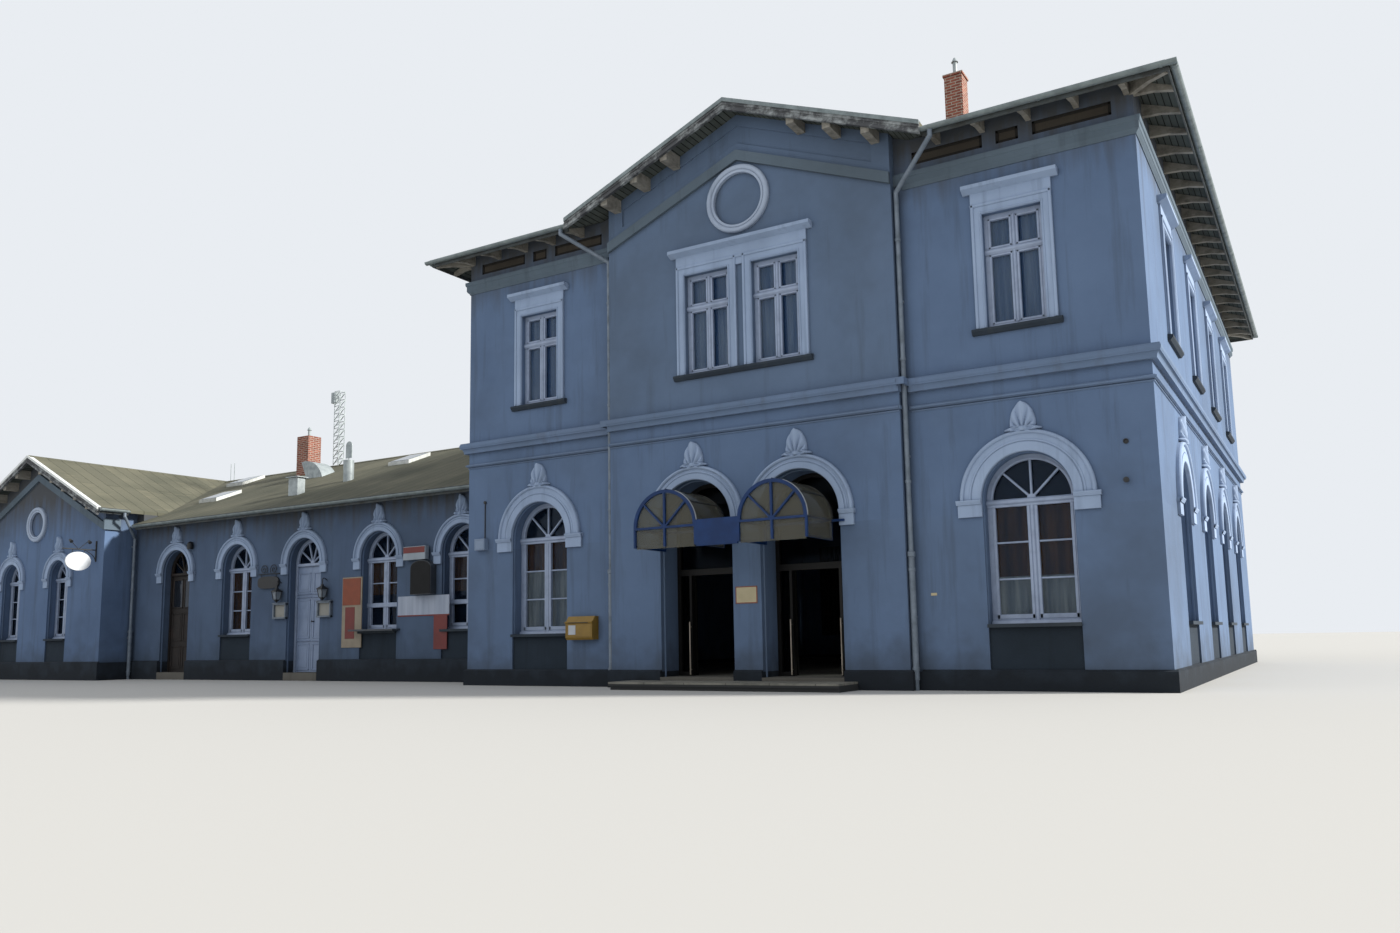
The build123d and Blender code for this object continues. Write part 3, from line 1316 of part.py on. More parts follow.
def skylight(from_end, from_eave):
    """A shallow framed light that lies on the wing's front slope, its pane sunk in the frame."""
    x0, y0 = wing_end_x + from_end, wing_eave_y + from_eave
    x1, y1 = x0 + skylight_length, y0 + skylight_depth

    def lying(inset, bottom, top):
        a, b = y0 + inset, y1 - inset
        return along_x(outline([(a, wing_slope(a) + bottom), (b, wing_slope(b) + bottom), (b, wing_slope(b) + top),
                                (a, wing_slope(a) + top)]), x0 + inset, x1 - inset)

    return lying(0, 0, skylight_frame) - lying(frame_bar, skylight_frame - glass_sheet, skylight_frame + 1)


save(group([skylight(*place) for place in skylight_places]), "skylights")


def lattice_mast():
    """A square mast of four legs with level and slanting bars on each side."""
    half = mast_width / 2
    foot, top = wing_ridge_top, wing_ridge_top + mast_rise
    step = mast_rise / mast_bays
    legs = [upright(sx * (half - mast_bar / 2), sy * (half - mast_bar / 2), mast_bar, mast_bar, foot - half, top)
            for sx in (-1, 1) for sy in (-1, 1)]
    bars = []
    for i in range(mast_bays):
        z0, z1 = foot + i * step, foot + (i + 1) * step
        level = outline([(-half, z1 - mast_bar), (half, z1 - mast_bar), (half, z1), (-half, z1)])
        slant = outline([(-half, z0), (half, z1 - 2 * mast_bar), (half, z1), (-half, z0 + 2 * mast_bar)])
        for face in (level, slant):
            for near, far in ((-half, mast_bar - half), (half - mast_bar, half)):
                bars += [along_y(face, near, far), along_x(face, near, far)]
    panel = block(-half - mast_panel_width, -half, -mast_panel_depth / 2, mast_panel_depth / 2,
                  top - mast_panel_height, top)
    mast = fused(legs + bars + [panel])
    return Pos(wing_end_x + mast_from_end, wing_ridge_y, 0) * mast - over_wing


aerials = [Pos(wing_end_x + aerial_from_end + s * aerial_gap / 2, wing_ridge_y, wing_ridge_top / 2 + aerial_rise / 2)
           * Cylinder(aerial_radius, wing_ridge_top + aerial_rise) - over_wing - pavilion_gable(0, 0) for s in (-1, 1)]
save(group([lattice_mast()] + aerials), "roof_mast")

# Landing and wall fittings
landing = block(-landing_left, landing_right, landing_front_y, -centre_step - plinth_step, 0, landing_top - nosing_depth)
landing_slab = block(-landing_left - nosing_step, landing_right, landing_front_y - nosing_step,
                     -centre_step - plinth_step, landing_top - nosing_depth, landing_top)
save(landing + landing_slab, "landing")
box_profile = outline([(0, box_bottom), (0, box_bottom + box_height), (-box_depth * 0.55, box_bottom + box_height),
                       (-box_depth, box_bottom + box_height * 0.72), (-box_depth, box_bottom + box_height * 0.1),
                       (-box_depth * 0.85, box_bottom)])
shelf_x = wing_bay_places[bays_before_shelf]
save(block(shelf_x - serving_shelf_length / 2, shelf_x + serving_shelf_length / 2, wing_front_y - serving_shelf_depth,
           wing_front_y, wing_arch_sill, wing_arch_sill + serving_shelf_board), "serving_shelf")
save(along_x(box_profile, box_x - box_width / 2, box_x + box_width / 2), "post_box")
wall_box_x = wall_box_from_corner - main_half
save(block(wall_box_x - wall_box_width / 2, wall_box_x + wall_box_width / 2, -wall_box_depth, 0, wall_box_bottom,
           wall_box_bottom + wall_box_height), "wall_box")
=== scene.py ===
import json
import math

import bmesh
import bpy
import numpy as np
from mathutils import Matrix, Vector


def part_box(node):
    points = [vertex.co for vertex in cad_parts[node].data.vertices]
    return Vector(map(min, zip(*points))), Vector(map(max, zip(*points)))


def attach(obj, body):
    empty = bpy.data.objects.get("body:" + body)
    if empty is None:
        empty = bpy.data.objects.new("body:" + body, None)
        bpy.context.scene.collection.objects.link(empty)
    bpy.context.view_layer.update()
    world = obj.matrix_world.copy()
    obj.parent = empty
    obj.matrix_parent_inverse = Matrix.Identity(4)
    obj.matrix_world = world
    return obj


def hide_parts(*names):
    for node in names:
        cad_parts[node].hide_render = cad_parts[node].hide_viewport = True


UP = np.array([0.0, 0.0, 1.0])
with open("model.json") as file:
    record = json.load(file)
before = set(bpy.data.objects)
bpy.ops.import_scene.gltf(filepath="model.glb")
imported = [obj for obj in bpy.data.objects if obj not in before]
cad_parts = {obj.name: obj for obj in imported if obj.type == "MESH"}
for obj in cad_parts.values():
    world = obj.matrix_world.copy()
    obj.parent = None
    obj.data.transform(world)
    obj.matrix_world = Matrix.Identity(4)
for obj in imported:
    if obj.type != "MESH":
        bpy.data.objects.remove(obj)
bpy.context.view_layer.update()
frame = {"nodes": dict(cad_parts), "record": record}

# Sizes in metres of the half-size model, taken from its solids where they show there
HALF_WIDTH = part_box("right_wall")[1].x
MAIN_REAR_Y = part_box("rear_wall")[1].y
CENTRE_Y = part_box("entrance_piers")[0].y
CENTRE_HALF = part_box("entrance_piers")[1].x
WING_END_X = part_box("wing_front_wall")[0].x
WING_FRONT_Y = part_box("wing_front_wall")[0].y
WING_REAR_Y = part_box("wing_rear_wall")[1].y
PAVILION_LOW, PAVILION_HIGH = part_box("pavilion_front_wall")
PAVILION_X = (PAVILION_LOW.x + PAVILION_HIGH.x) / 2
PAVILION_FRONT_Y = PAVILION_LOW.y
PLINTH_TOP = {"main": 0.180, "wing": 0.300}
PLINTH_OUT = 0.034
DOORSTEP = 0.122

# Windows and doors: half width of an arch, its sill, spring line and reveal
MAIN_ARCH = {"radius": 0.427, "sill": 0.626, "spring": 1.818, "reveal": 0.165}
WING_ARCH = {"radius": 0.384, "sill": 0.725, "spring": 1.805, "reveal": 0.150}
PAVILION_ARCH = {"radius": 0.318, "sill": 0.725, "spring": 1.805, "reveal": 0.150}
SURROUND_OUTER = {"main": 0.634, "entrance": 0.620, "wing": 0.516, "pavilion": 0.468}
SURROUND_FACE = 0.030
ENTRANCE = {"x": 0.635, "radius": 0.465, "spring": 1.823}
FRAME_BAR = 0.045
BAR_DEPTH = 0.030
UPPER = {"half": 0.2855, "sill": 3.498, "head": 4.653, "reveal": 0.060, "bar": 0.036, "transom": 0.370}
UPPER_TRIM = 0.105
UPPER_TRIM_FACE = 0.022
CENTRE_WINDOW_X = 0.432

# Places of the windows and doors along each front
FRONT_BAYS = (-2.955, 2.955)
SIDE_BAYS = tuple(1.680 + 2.080 * i for i in range(4))
LEFT_UPPER_BAYS = tuple(-y for i, y in enumerate(SIDE_BAYS) if i != 1)
REAR_BAYS = (-2.955, 0.0, 2.955)
WING_BAYS = tuple(-HALF_WIDTH - 0.825 - 1.650 * i for i in range(5))
WHITE_DOOR_X, DARK_DOOR_X = WING_BAYS[2], WING_BAYS[4]
WING_WINDOWS = (WING_BAYS[0], WING_BAYS[1], WING_BAYS[3])
PAVILION_WINDOWS = (-0.800, 0.800)

# Canopies over the entrances
CANOPY_FRONT_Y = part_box("canopy_frames")[0].y
CANOPY_RADIUS = 0.390
CANOPY_SPRING = 1.720


def facade(x, y, turn):
    """A front: its origin on the ground, the way that u runs, and the way into the wall."""
    c, s = math.cos(math.radians(turn)), math.sin(math.radians(turn))
    return np.array([x, y, 0.0]), np.array([c, s, 0.0]), np.array([-s, c, 0.0])


MAIN_FRONT = facade(0, 0, 0)
CENTRE_FRONT = facade(0, CENTRE_Y, 0)
MAIN_RIGHT = facade(HALF_WIDTH, 0, 90)
MAIN_REAR = facade(0, MAIN_REAR_Y, 180)
MAIN_LEFT = facade(-HALF_WIDTH, 0, -90)
WING_FRONT = facade(0, WING_FRONT_Y, 0)
WING_REAR = facade(0, WING_REAR_Y, 180)
PAVILION_FRONT = facade(PAVILION_X, PAVILION_FRONT_Y, 0)

ARCHED_WINDOWS = (
    [(MAIN_FRONT, u, MAIN_ARCH) for u in FRONT_BAYS] + [(MAIN_RIGHT, u, MAIN_ARCH) for u in SIDE_BAYS]
    + [(MAIN_REAR, u, MAIN_ARCH) for u in REAR_BAYS] + [(WING_FRONT, u, WING_ARCH) for u in WING_WINDOWS]
    + [(WING_REAR, -u, WING_ARCH) for u in WING_BAYS[0::2]]
    + [(PAVILION_FRONT, u, PAVILION_ARCH) for u in PAVILION_WINDOWS])
UPPER_WINDOWS = (
    [(MAIN_FRONT, u) for u in FRONT_BAYS] + [(CENTRE_FRONT, s * CENTRE_WINDOW_X) for s in (-1, 1)]
    + [(MAIN_RIGHT, u) for u in SIDE_BAYS] + [(MAIN_LEFT, u) for u in LEFT_UPPER_BAYS]
    + [(MAIN_REAR, u) for u in REAR_BAYS])
SURROUNDS = (
    [(MAIN_FRONT, u, MAIN_ARCH, "main") for u in FRONT_BAYS]
    + [(MAIN_RIGHT, u, MAIN_ARCH, "main") for u in SIDE_BAYS]
    + [(CENTRE_FRONT, s * ENTRANCE["x"], ENTRANCE, "entrance") for s in (-1, 1)]
    + [(WING_FRONT, u, WING_ARCH, "wing") for u in WING_BAYS]
    + [(PAVILION_FRONT, u, PAVILION_ARCH, "pavilion") for u in PAVILION_WINDOWS])


# Meshes
def to_world(front, points):
    """Points (u, out, z) of a front, where out is measured from the wall's face, in the row frame."""
    origin, right, inward = front
    points = np.asarray(points, float)
    return origin + points[..., 0:1] * right - points[..., 1:2] * inward + points[..., 2:3] * UP


def carried(profile, centres, across, outward, closed=False):
    """A closed profile (a, o) carried along a path: point = centre + a * across + o * outward."""
    profile, centres = np.asarray(profile, float), np.asarray(centres, float)
    n, m = len(profile), len(centres)
    points = (centres[:, None] + profile[None, :, :1] * np.asarray(across, float)[:, None]
              + profile[None, :, 1:] * np.asarray(outward, float)[:, None])
    turns = m if closed else m - 1
    i, j = np.meshgrid(np.arange(turns), np.arange(n), indexing="ij")
    i2, j2 = (i + 1) % m, (j + 1) % n
    quads = np.stack([i * n + j, i * n + j2, i2 * n + j2, i2 * n + j], -1).reshape(-1, 4).tolist()
    if not closed:
        quads += [list(range(n))[::-1], list(range((m - 1) * n, m * n))]
    return points.reshape(-1, 3), quads


def straight_bar(front, start, end, profile):
    """A profile run between two points (u, z) of a front: a is across the run, o out of the wall."""
    start, end = np.asarray(start, float), np.asarray(end, float)
    run = (end - start) / np.linalg.norm(end - start)
    places = to_world(front, [(start[0], 0, start[1]), (end[0], 0, end[1])])
    side = -run[1] * front[1] + run[0] * UP
    return carried(profile, places, [side] * 2, [-front[2]] * 2)


def upright_bar(front, u, z0, z1, profile):
    """A profile run straight up a front."""
    return straight_bar(front, (u, z0), (u, z1), profile)


def level_bar(front, u0, u1, z, profile):
    """A profile run level along a front."""
    return straight_bar(front, (u0, z), (u1, z), profile)


def spokes(along, first, last, steps):
    """Unit vectors cosine * along + sine * up, for even angles from first to last in degrees."""
    angles = np.radians(np.linspace(first, last, steps + 1))[:, None]
    return np.cos(angles) * along + np.sin(angles) * UP


def arc_bar(front, u, z, radius, first, last, profile, steps=48):
    """A profile carried round an arc about (u, z): a is along the radius, o out of the wall."""
    closed = abs(last - first) == 360
    radial = spokes(front[1], first, last, steps)[:steps if closed else None]
    centre = to_world(front, [(u, 0, z)])
    return carried(profile, centre + radius * radial, radial, [-front[2]] * len(radial), closed)


def arch_bar(front, u, radius, bottom, spring, profile, steps=40):
    """A profile carried up a jamb, round the arch and down the other jamb: a is away from the opening."""
    radial = spokes(front[1], 180, 0, steps)
    centres = to_world(front, [(u, 0, spring)]) + radius * radial
    feet = to_world(front, [(u - radius, 0, bottom), (u + radius, 0, bottom)])
    centres = np.concatenate([feet[:1], centres, feet[1:]])
    across = np.concatenate([radial[:1], radial, radial[-1:]])
    return carried(profile, centres, across, [-front[2]] * len(centres))


def hoop(front, u, out, z, radius, first, last, profile, steps=14):
    """A profile carried round an arc that stands across a front: a is along the radius, o along u."""
    radial = spokes(-front[2], first, last, steps)
    centre = to_world(front, [(u, out, z)])
    return carried(profile, centre + radius * radial, radial, [front[1]] * len(radial))


def moulding(path, profile):
    """A profile (out, z) carried along a path in plan with mitred corners: out is to the path's right."""
    path = np.asarray(path, float)
    legs = np.diff(path, axis=0)
    normals = np.stack([legs[:, 1], -legs[:, 0]], -1) / np.linalg.norm(legs, axis=1)[:, None]
    before, after = np.concatenate([normals[:1], normals]), np.concatenate([normals, normals[-1:]])
    mitre = (before + after) / (1 + (before * after).sum(1))[:, None]
    no_height = np.zeros((len(path), 1))
    return carried(profile, np.concatenate([path, no_height], 1), np.concatenate([mitre, no_height], 1),
                   [UP] * len(path))


def turned(profile, place, axis=UP, steps=20):
    """A profile (radius, height) turned about an axis through a place; four steps stand square."""
    axis = np.asarray(axis, float) / np.linalg.norm(axis)
    side = np.cross(axis, [0.0, 1.0, 0.0] if abs(axis[1]) < 0.9 else [1.0, 0.0, 0.0])
    side /= np.linalg.norm(side)
    other = np.cross(axis, side)
    angles = (np.arange(steps) + 0.5) * 2 * math.pi / steps
    ring = np.cos(angles)[:, None] * side + np.sin(angles)[:, None] * other
    profile = np.asarray(profile, float)
    points = np.asarray(place, float) + profile[:, :1, None] * ring + profile[:, 1:, None] * axis
    n, m = steps, len(profile)
    i, j = np.meshgrid(np.arange(m - 1), np.arange(n), indexing="ij")
    j2 = (j + 1) % n
    quads = np.stack([i * n + j, i * n + j2, (i + 1) * n + j2, (i + 1) * n + j], -1).reshape(-1, 4)
    return points.reshape(-1, 3), quads.tolist() + [list(range(n))[::-1], list(range((m - 1) * n, m * n))]


def rod(path, radius, steps=8):
    """A round rod along a path: a circle of that radius carried square to the path's direction."""
    path = np.asarray(path, float)
    run = np.gradient(path, axis=0)
    run /= np.linalg.norm(run, axis=1)[:, None]
    reference = np.array([0.31, 0.17, 0.93]) if abs(run[:, 2]).max() < 0.9 else np.array([0.83, 0.55, 0.0])
    side = np.cross(run, reference)
    side /= np.linalg.norm(side, axis=1)[:, None]
    angles = np.linspace(0, 2 * math.pi, steps, endpoint=False)
    circle = np.stack([np.cos(angles), np.sin(angles)], -1) * radius
    return carried(circle, path, side, np.cross(side, run))


def rounded(width, low, high, edge):
    """The profile of a bar with eased front edges, from low to high out of the wall."""
    w = width / 2
    return [(-w, low), (w, low), (w, high - edge), (w - edge, high), (edge - w, high), (-w, high - edge)]


def sash_bar(width, face, proud, edge=0.004):
    """The profile of a bar that starts inside a window frame and stands proud of its face."""
    return rounded(width, face - BAR_DEPTH, face + proud, edge)


def half_round(middle, width, low, rise):
    """The profile of a roll: out = low + rise * sine over the width."""
    turn = np.linspace(0, math.pi, 7)
    return [(middle - width / 2 * math.cos(t), low + rise * math.sin(t)) for t in turn]


def board(front, u0, u1, z0, z1, low, high, edge=0.003):
    """A flat board on a front with eased front edges."""
    return upright_bar(front, (u0 + u1) / 2, z0, z1, rounded(u1 - u0, low, high, edge))


def loop(front, u0, u1, z0, z1, width, low, high, edge=0.003):
    """Four eased bars round a rectangle."""
    bar = rounded(width, low, high, edge)
    h = width / 2
    return ([upright_bar(front, u, z0, z1, bar) for u in (u0 + h, u1 - h)]
            + [level_bar(front, u0, u1, z, bar) for z in (z0 + h, z1 - h)])


def plate(front, outline, low, high):
    """An outline (u, z) carried straight out of the wall from low to high."""
    centres = to_world(front, [(0, low, 0), (0, high, 0)])
    return carried(outline, centres, [front[1]] * 2, [UP] * 2)


def sheet(near, far):
    """A closed shell between two grids of points (rows, columns, 3), joined round their rim."""
    rows, columns = near.shape[:2]
    count = rows * columns
    places = np.arange(count).reshape(rows, columns)
    quad = np.stack([places[:-1, :-1], places[:-1, 1:], places[1:, 1:], places[1:, :-1]], -1).reshape(-1, 4)
    rim = np.concatenate([places[0], places[1:, -1], places[-1, -2::-1], places[-2:0:-1, 0]])
    after = np.roll(rim, -1)
    sides = np.stack([rim, rim + count, after + count, after], -1)
    faces = np.concatenate([quad, quad[:, ::-1] + count, sides]).tolist()
    return np.concatenate([near.reshape(-1, 3), far.reshape(-1, 3)]), faces


def piece(name, parts, material, body="building", smooth=False):
    """One mesh from closed parts, each (points, faces), its faces turned outwards, riding on a body."""
    points, faces, offset = [], [], 0
    for part_points, part_faces in parts:
        points.append(part_points)
        faces += [[offset + k for k in face] for face in part_faces]
        offset += len(part_points)
    mesh = bpy.data.meshes.new(name)
    mesh.from_pydata(np.concatenate(points).tolist(), [], faces)
    bm = bmesh.new()
    bm.from_mesh(mesh)
    bmesh.ops.recalc_face_normals(bm, faces=bm.faces)
    bm.to_mesh(mesh)
    bm.free()
    mesh.polygons.foreach_set("use_smooth", [smooth] * len(mesh.polygons))
    if smooth:
        mesh.set_sharp_from_angle(angle=math.radians(35))
    made = bpy.data.objects.new(name, mesh)
    bpy.context.scene.collection.objects.link(made)
    mesh.materials.append(material)
    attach(made, body)
    return made


# Materials
COLOURS = {"data_type": "RGBA"}
VECTORS = {"data_type": "VECTOR"}
BLACK, WHITE, GREY = (0, 0, 0, 1), (1, 1, 1, 1), (0.5, 0.5, 0.5, 1)
# Bricks in tones from black to white, their sizes in metres
BRICK_TONES = {"Color1": BLACK, "Color2": WHITE, "Scale": 1.0}


def colour(code):
    """A linear colour from an sRGB hex value."""
    channels = [int(code[i:i + 2], 16) / 255 for i in (1, 3, 5)]
    return [c / 12.92 if c <= 0.04045 else ((c + 0.055) / 1.055) ** 2.4 for c in channels] + [1.0]


def fill(tree, node, **links):
    """Sets or links a node's sockets, each named with _ for a space, or nK for the one at place K."""
    for name, value in links.items():
        if name[0] == "n" and name[1:].isdigit():
            socket = node.inputs[int(name[1:])]
        else:
            socket = next(s for s in node.inputs if s.enabled and s.name == name.replace("_", " "))
        if isinstance(value, bpy.types.Node):
            value = next(s for s in value.outputs if s.enabled)
        if isinstance(value, bpy.types.NodeSocket):
            tree.links.new(value, socket)
        else:
            socket.default_value = value
    return node


def add(tree, kind, settings=(), **links):
    """A node of a kind with its settings and links."""
    made = tree.nodes.new("ShaderNode" + kind)
    for name, value in dict(settings).items():
        setattr(made, name, value)
    return fill(tree, made, **links)


def blank(name):
    """A new material with its tree, its surface shader and the object's own coordinates."""
    made = bpy.data.materials.new(name)
    made.use_nodes = True
    tree = made.node_tree
    return made, tree, tree.nodes["Principled BSDF"], add(tree, "TexCoord").outputs["Object"]


def masonry_paint(name, base, shade, dirt_and_shade, foot=0.0, grain=0.0015, coat=0.0, lower=None, eaves=None):
    """Matt masonry paint rolled on lime render: cloudy, grained, streaked, splashed below, with grime and
    painted shade towards the eaves and painted shade in corners.
    """
    made, tree, shader, place = blank(name)
    height = add(tree, "SeparateXYZ", Vector=place).outputs["Z"]
    # Clouds of about a metre, where the render drank the paint unevenly
    cloud = add(tree, "TexNoise", Vector=place, Scale=1.1, Detail=5.0, Roughness=0.6)
    cloud = add(tree, "MapRange", Value=cloud, From_Min=0.35, From_Max=0.68)
    paint = add(tree, "Mix", COLOURS, Factor=cloud, A=colour(base), B=colour(shade))
    if coat:
        # The coat that was renewed up to about 3.4 m at full size
        renewed = add(tree, "MapRange", Value=height, From_Min=coat + 0.004, From_Max=coat - 0.004)
        fresh = add(tree, "Mix", COLOURS, Factor=cloud, A=colour(lower), B=colour(base))
        paint = add(tree, "Mix", COLOURS, Factor=renewed, A=paint, B=fresh)
    # Rain streaks 80 mm wide down the wall, and damp patches of about two metres
    run = add(tree, "Mapping", Vector=place, Scale=(6.0, 6.0, 0.45))
    streak = add(tree, "TexNoise", Vector=run, Scale=1.0, Detail=4.0, Roughness=0.65)
    streak = add(tree, "MapRange", Value=streak, From_Min=0.52, From_Max=0.80, To_Max=0.65)
    patch = add(tree, "TexNoise", Vector=place, Scale=0.45, Detail=5.0, Roughness=0.6)
    patch = add(tree, "MapRange", Value=patch, From_Min=0.50, From_Max=0.72, To_Max=0.55)
    stain = add(tree, "Math", {"operation": "MAXIMUM"}, n0=streak, n1=patch)
    paint = add(tree, "Mix", COLOURS, Factor=stain, A=paint, B=colour(dirt_and_shade))
    if foot:
        # Splashes that climb unevenly from the ground
        ragged = add(tree, "TexNoise", Vector=place, Scale=4.0, Detail=4.0)
        ragged = add(tree, "MapRange", Value=ragged, From_Min=0.3, From_Max=0.7, To_Min=-0.16, To_Max=0.16)
        edge = add(tree, "Math", {"operation": "ADD"}, n0=height, n1=ragged)
        splash = add(tree, "MapRange", Value=edge, From_Min=foot, From_Max=0.1, To_Max=0.75)
        paint = add(tree, "Mix", COLOURS, Factor=splash, A=paint, B=colour(dirt_and_shade))
    if eaves:
        # Brown grime and painted shade under the eaves, thickening unevenly towards them
        ragged = add(tree, "TexNoise", Vector=run, Scale=1.6, Detail=4.0)
        ragged = add(tree, "MapRange", Value=ragged, From_Min=0.3, From_Max=0.7, To_Min=-0.18, To_Max=0.18)
        edge = add(tree, "Math", {"operation": "ADD"}, n0=height, n1=ragged)
        grime_and_eave_shade = add(tree, "MapRange", Value=edge, From_Min=eaves[0], From_Max=eaves[1], To_Max=0.85)
        paint = add(tree, "Mix", COLOURS, Factor=grime_and_eave_shade, A=paint, B=colour("#494844"))
    # Painted shade in the corners of mouldings, where ambient occlusion finds them closed in
    corner = add(tree, "AmbientOcclusion", {"samples": 6}, Distance=0.14).outputs["AO"]
    painted_corner_shade = add(tree, "MapRange", Value=corner, From_Min=0.75, From_Max=0.25, To_Max=0.55)
    paint = add(tree, "Mix", COLOURS, Factor=painted_corner_shade, A=paint, B=colour(dirt_and_shade))
    # Plaster grain of about 4 mm, drawn at 9 mm so that it shows, over trowel marks of about 0.3 m
    sand = add(tree, "TexNoise", Vector=place, Scale=110.0, Detail=2.0)
    fine = add(tree, "Bump", Height=sand, Distance=grain)
    trowel = add(tree, "TexNoise", Vector=place, Scale=3.0, Detail=3.0)
    broad = add(tree, "Bump", Height=trowel, Distance=0.008, Normal=fine)
    fill(tree, shader, Base_Color=paint, Roughness=0.88, Specular_IOR_Level=0.25, Normal=broad)
    return made


def bitumen_felt():
    """Mineral bitumen felt laid down the slope in narrow strips, over planed boards seen from below."""
    made, tree, shader, place = blank("bitumen_felt_on_boards")
    facing = add(tree, "SeparateXYZ", Vector=add(tree, "TexCoord").outputs["Normal"]).outputs
    spot = add(tree, "SeparateXYZ", Vector=place).outputs
    # Slopes that fall along X carry the same laying turned through a right angle
    lean = add(tree, "Math", {"operation": "ABSOLUTE"}, n0=facing["X"])
    sideways = add(tree, "Math", {"operation": "GREATER_THAN"}, n0=lean, n1=0.2)
    x_first = add(tree, "CombineXYZ", X=spot["X"], Y=spot["Y"])
    y_first = add(tree, "CombineXYZ", X=spot["Y"], Y=spot["X"])
    down = add(tree, "Mix", VECTORS, Factor=sideways, A=y_first, B=x_first)
    level = add(tree, "Mix", VECTORS, Factor=sideways, A=x_first, B=y_first)
    strips = add(tree, "TexBrick", {"offset": 0.37}, Vector=down, **BRICK_TONES, Mortar=GREY,
                 Mortar_Size=0.007, Mortar_Smooth=0.4, Brick_Width=4.6, Row_Height=0.25)
    felt = add(tree, "Mix", COLOURS, Factor=strips.outputs["Color"], A=colour("#5f5f53"), B=colour("#6b6a5c"))
    damp = add(tree, "TexNoise", Vector=place, Scale=0.8, Detail=5.0)
    damp = add(tree, "MapRange", Value=damp, From_Min=0.40, From_Max=0.72)
    felt = add(tree, "Mix", COLOURS, Factor=damp, A=felt, B=colour("#4d4f45"))
    run = add(tree, "Mapping", Vector=place, Scale=(2.0, 0.5, 0.4))
    lichen = add(tree, "TexNoise", Vector=run, Scale=2.5, Detail=4.0, Roughness=0.7)
    lichen = add(tree, "MapRange", Value=lichen, From_Min=0.56, From_Max=0.8, To_Max=0.6)
    felt = add(tree, "Mix", COLOURS, Factor=lichen, A=felt, B=colour("#7e7a68"))
    lap = add(tree, "MapRange", Value=strips.outputs["Fac"], From_Min=0.2, From_Max=1.0, To_Max=0.8)
    felt = add(tree, "Mix", COLOURS, Factor=lap, A=felt, B=colour("#34362f"))
    # Boards 125 mm wide at full size
    boards = add(tree, "TexBrick", {"offset": 0.5}, Vector=level, **BRICK_TONES, Mortar=BLACK,
                 Mortar_Size=0.005, Mortar_Smooth=0.2, Brick_Width=2.0, Row_Height=0.062)
    wood = add(tree, "Mix", COLOURS, Factor=boards.outputs["Color"], A=colour("#454a48"), B=colour("#555b58"))
    worn = add(tree, "TexNoise", Vector=place, Scale=5.0, Detail=4.0)
    worn = add(tree, "MapRange", Value=worn, From_Min=0.5, From_Max=0.75, To_Max=0.7)
    wood = add(tree, "Mix", COLOURS, Factor=worn, A=wood, B=colour("#383c39"))
    wood = add(tree, "Mix", COLOURS, Factor=boards.outputs["Fac"], A=wood, B=colour("#1d201e"))
    below = add(tree, "Math", {"operation": "LESS_THAN"}, n0=facing["Z"], n1=-0.2)
    cover = add(tree, "Mix", COLOURS, Factor=below, A=felt, B=wood)
    # Mineral grit of 2 mm, drawn at 7 mm, and the lap or joint as a groove
    grit = add(tree, "TexNoise", Vector=place, Scale=140.0, Detail=2.0)
    grit = add(tree, "Bump", Height=grit, Distance=0.0015)
    seam = add(tree, "Mix", COLOURS, Factor=below, A=strips.outputs["Fac"], B=boards.outputs["Fac"])
    seam = add(tree, "MapRange", Value=seam, To_Min=1.0, To_Max=0.0)
    groove = add(tree, "Bump", Height=seam, Distance=0.004, Normal=grit)
    fill(tree, shader, Base_Color=cover, Roughness=0.92, Specular_IOR_Level=0.2, Normal=groove)
    return made


def weathered_timber(name, base, worn, grey, bare=0.7):
    """Oil paint brushed on softwood, thinned by weather along the grain and bare in spots."""
    made, tree, shader, place = blank(name)
    # Grain lines of 3 mm, drawn at 30 mm
    along = add(tree, "Mapping", Vector=place, Scale=(0.35, 0.35, 1.0))
    grain = add(tree, "TexNoise", Vector=along, Scale=30.0, Detail=4.0, Roughness=0.6)
    spread = add(tree, "MapRange", Value=grain, From_Min=0.3, From_Max=0.7)
    paint = add(tree, "Mix", COLOURS, Factor=spread, A=colour(base), B=colour(worn))
    flaked = add(tree, "TexNoise", Vector=place, Scale=5.0, Detail=6.0, Roughness=0.7)
    flaked = add(tree, "MapRange", Value=flaked, From_Min=0.46, From_Max=0.62, To_Max=bare)
    paint = add(tree, "Mix", COLOURS, Factor=flaked, A=paint, B=colour(grey))
    ridges = add(tree, "Bump", Height=grain, Distance=0.0015)
    fill(tree, shader, Base_Color=paint, Roughness=0.7, Normal=ridges)
    return made


def painted_joinery(name, base, dirt_and_shade, roughness=0.42):
    """Gloss paint brushed on window joinery: a soft shine, dull with dust in patches, with painted shade in
    the corners.
    """
    made, tree, shader, place = blank(name)
    dust_and_corner_shade = add(tree, "TexNoise", Vector=place, Scale=8.0, Detail=4.0, Roughness=0.6)
    dust_and_corner_shade = add(tree, "MapRange", Value=dust_and_corner_shade, From_Min=0.42, From_Max=0.75, To_Max=0.6)
    # Painted shade where ambient occlusion finds the corners closed in
    corner = add(tree, "AmbientOcclusion", {"samples": 6}, Distance=0.03).outputs["AO"]
    corner = add(tree, "MapRange", Value=corner, From_Min=0.8, From_Max=0.3, To_Max=0.8)
    dust_and_corner_shade = add(tree, "Math", {"operation": "MAXIMUM"}, n0=dust_and_corner_shade, n1=corner)
    paint = add(tree, "Mix", COLOURS, Factor=dust_and_corner_shade, A=colour(base), B=colour(dirt_and_shade))
    # Brush marks of a millimetre along the bars, drawn at 16 mm
    along = add(tree, "Mapping", Vector=place, Scale=(1.0, 1.0, 0.2))
    brushed = add(tree, "TexNoise", Vector=along, Scale=60.0, Detail=2.0)
    marks = add(tree, "Bump", Height=brushed, Distance=0.0006)
    fill(tree, shader, Base_Color=paint, Roughness=roughness, Normal=marks)
    return made


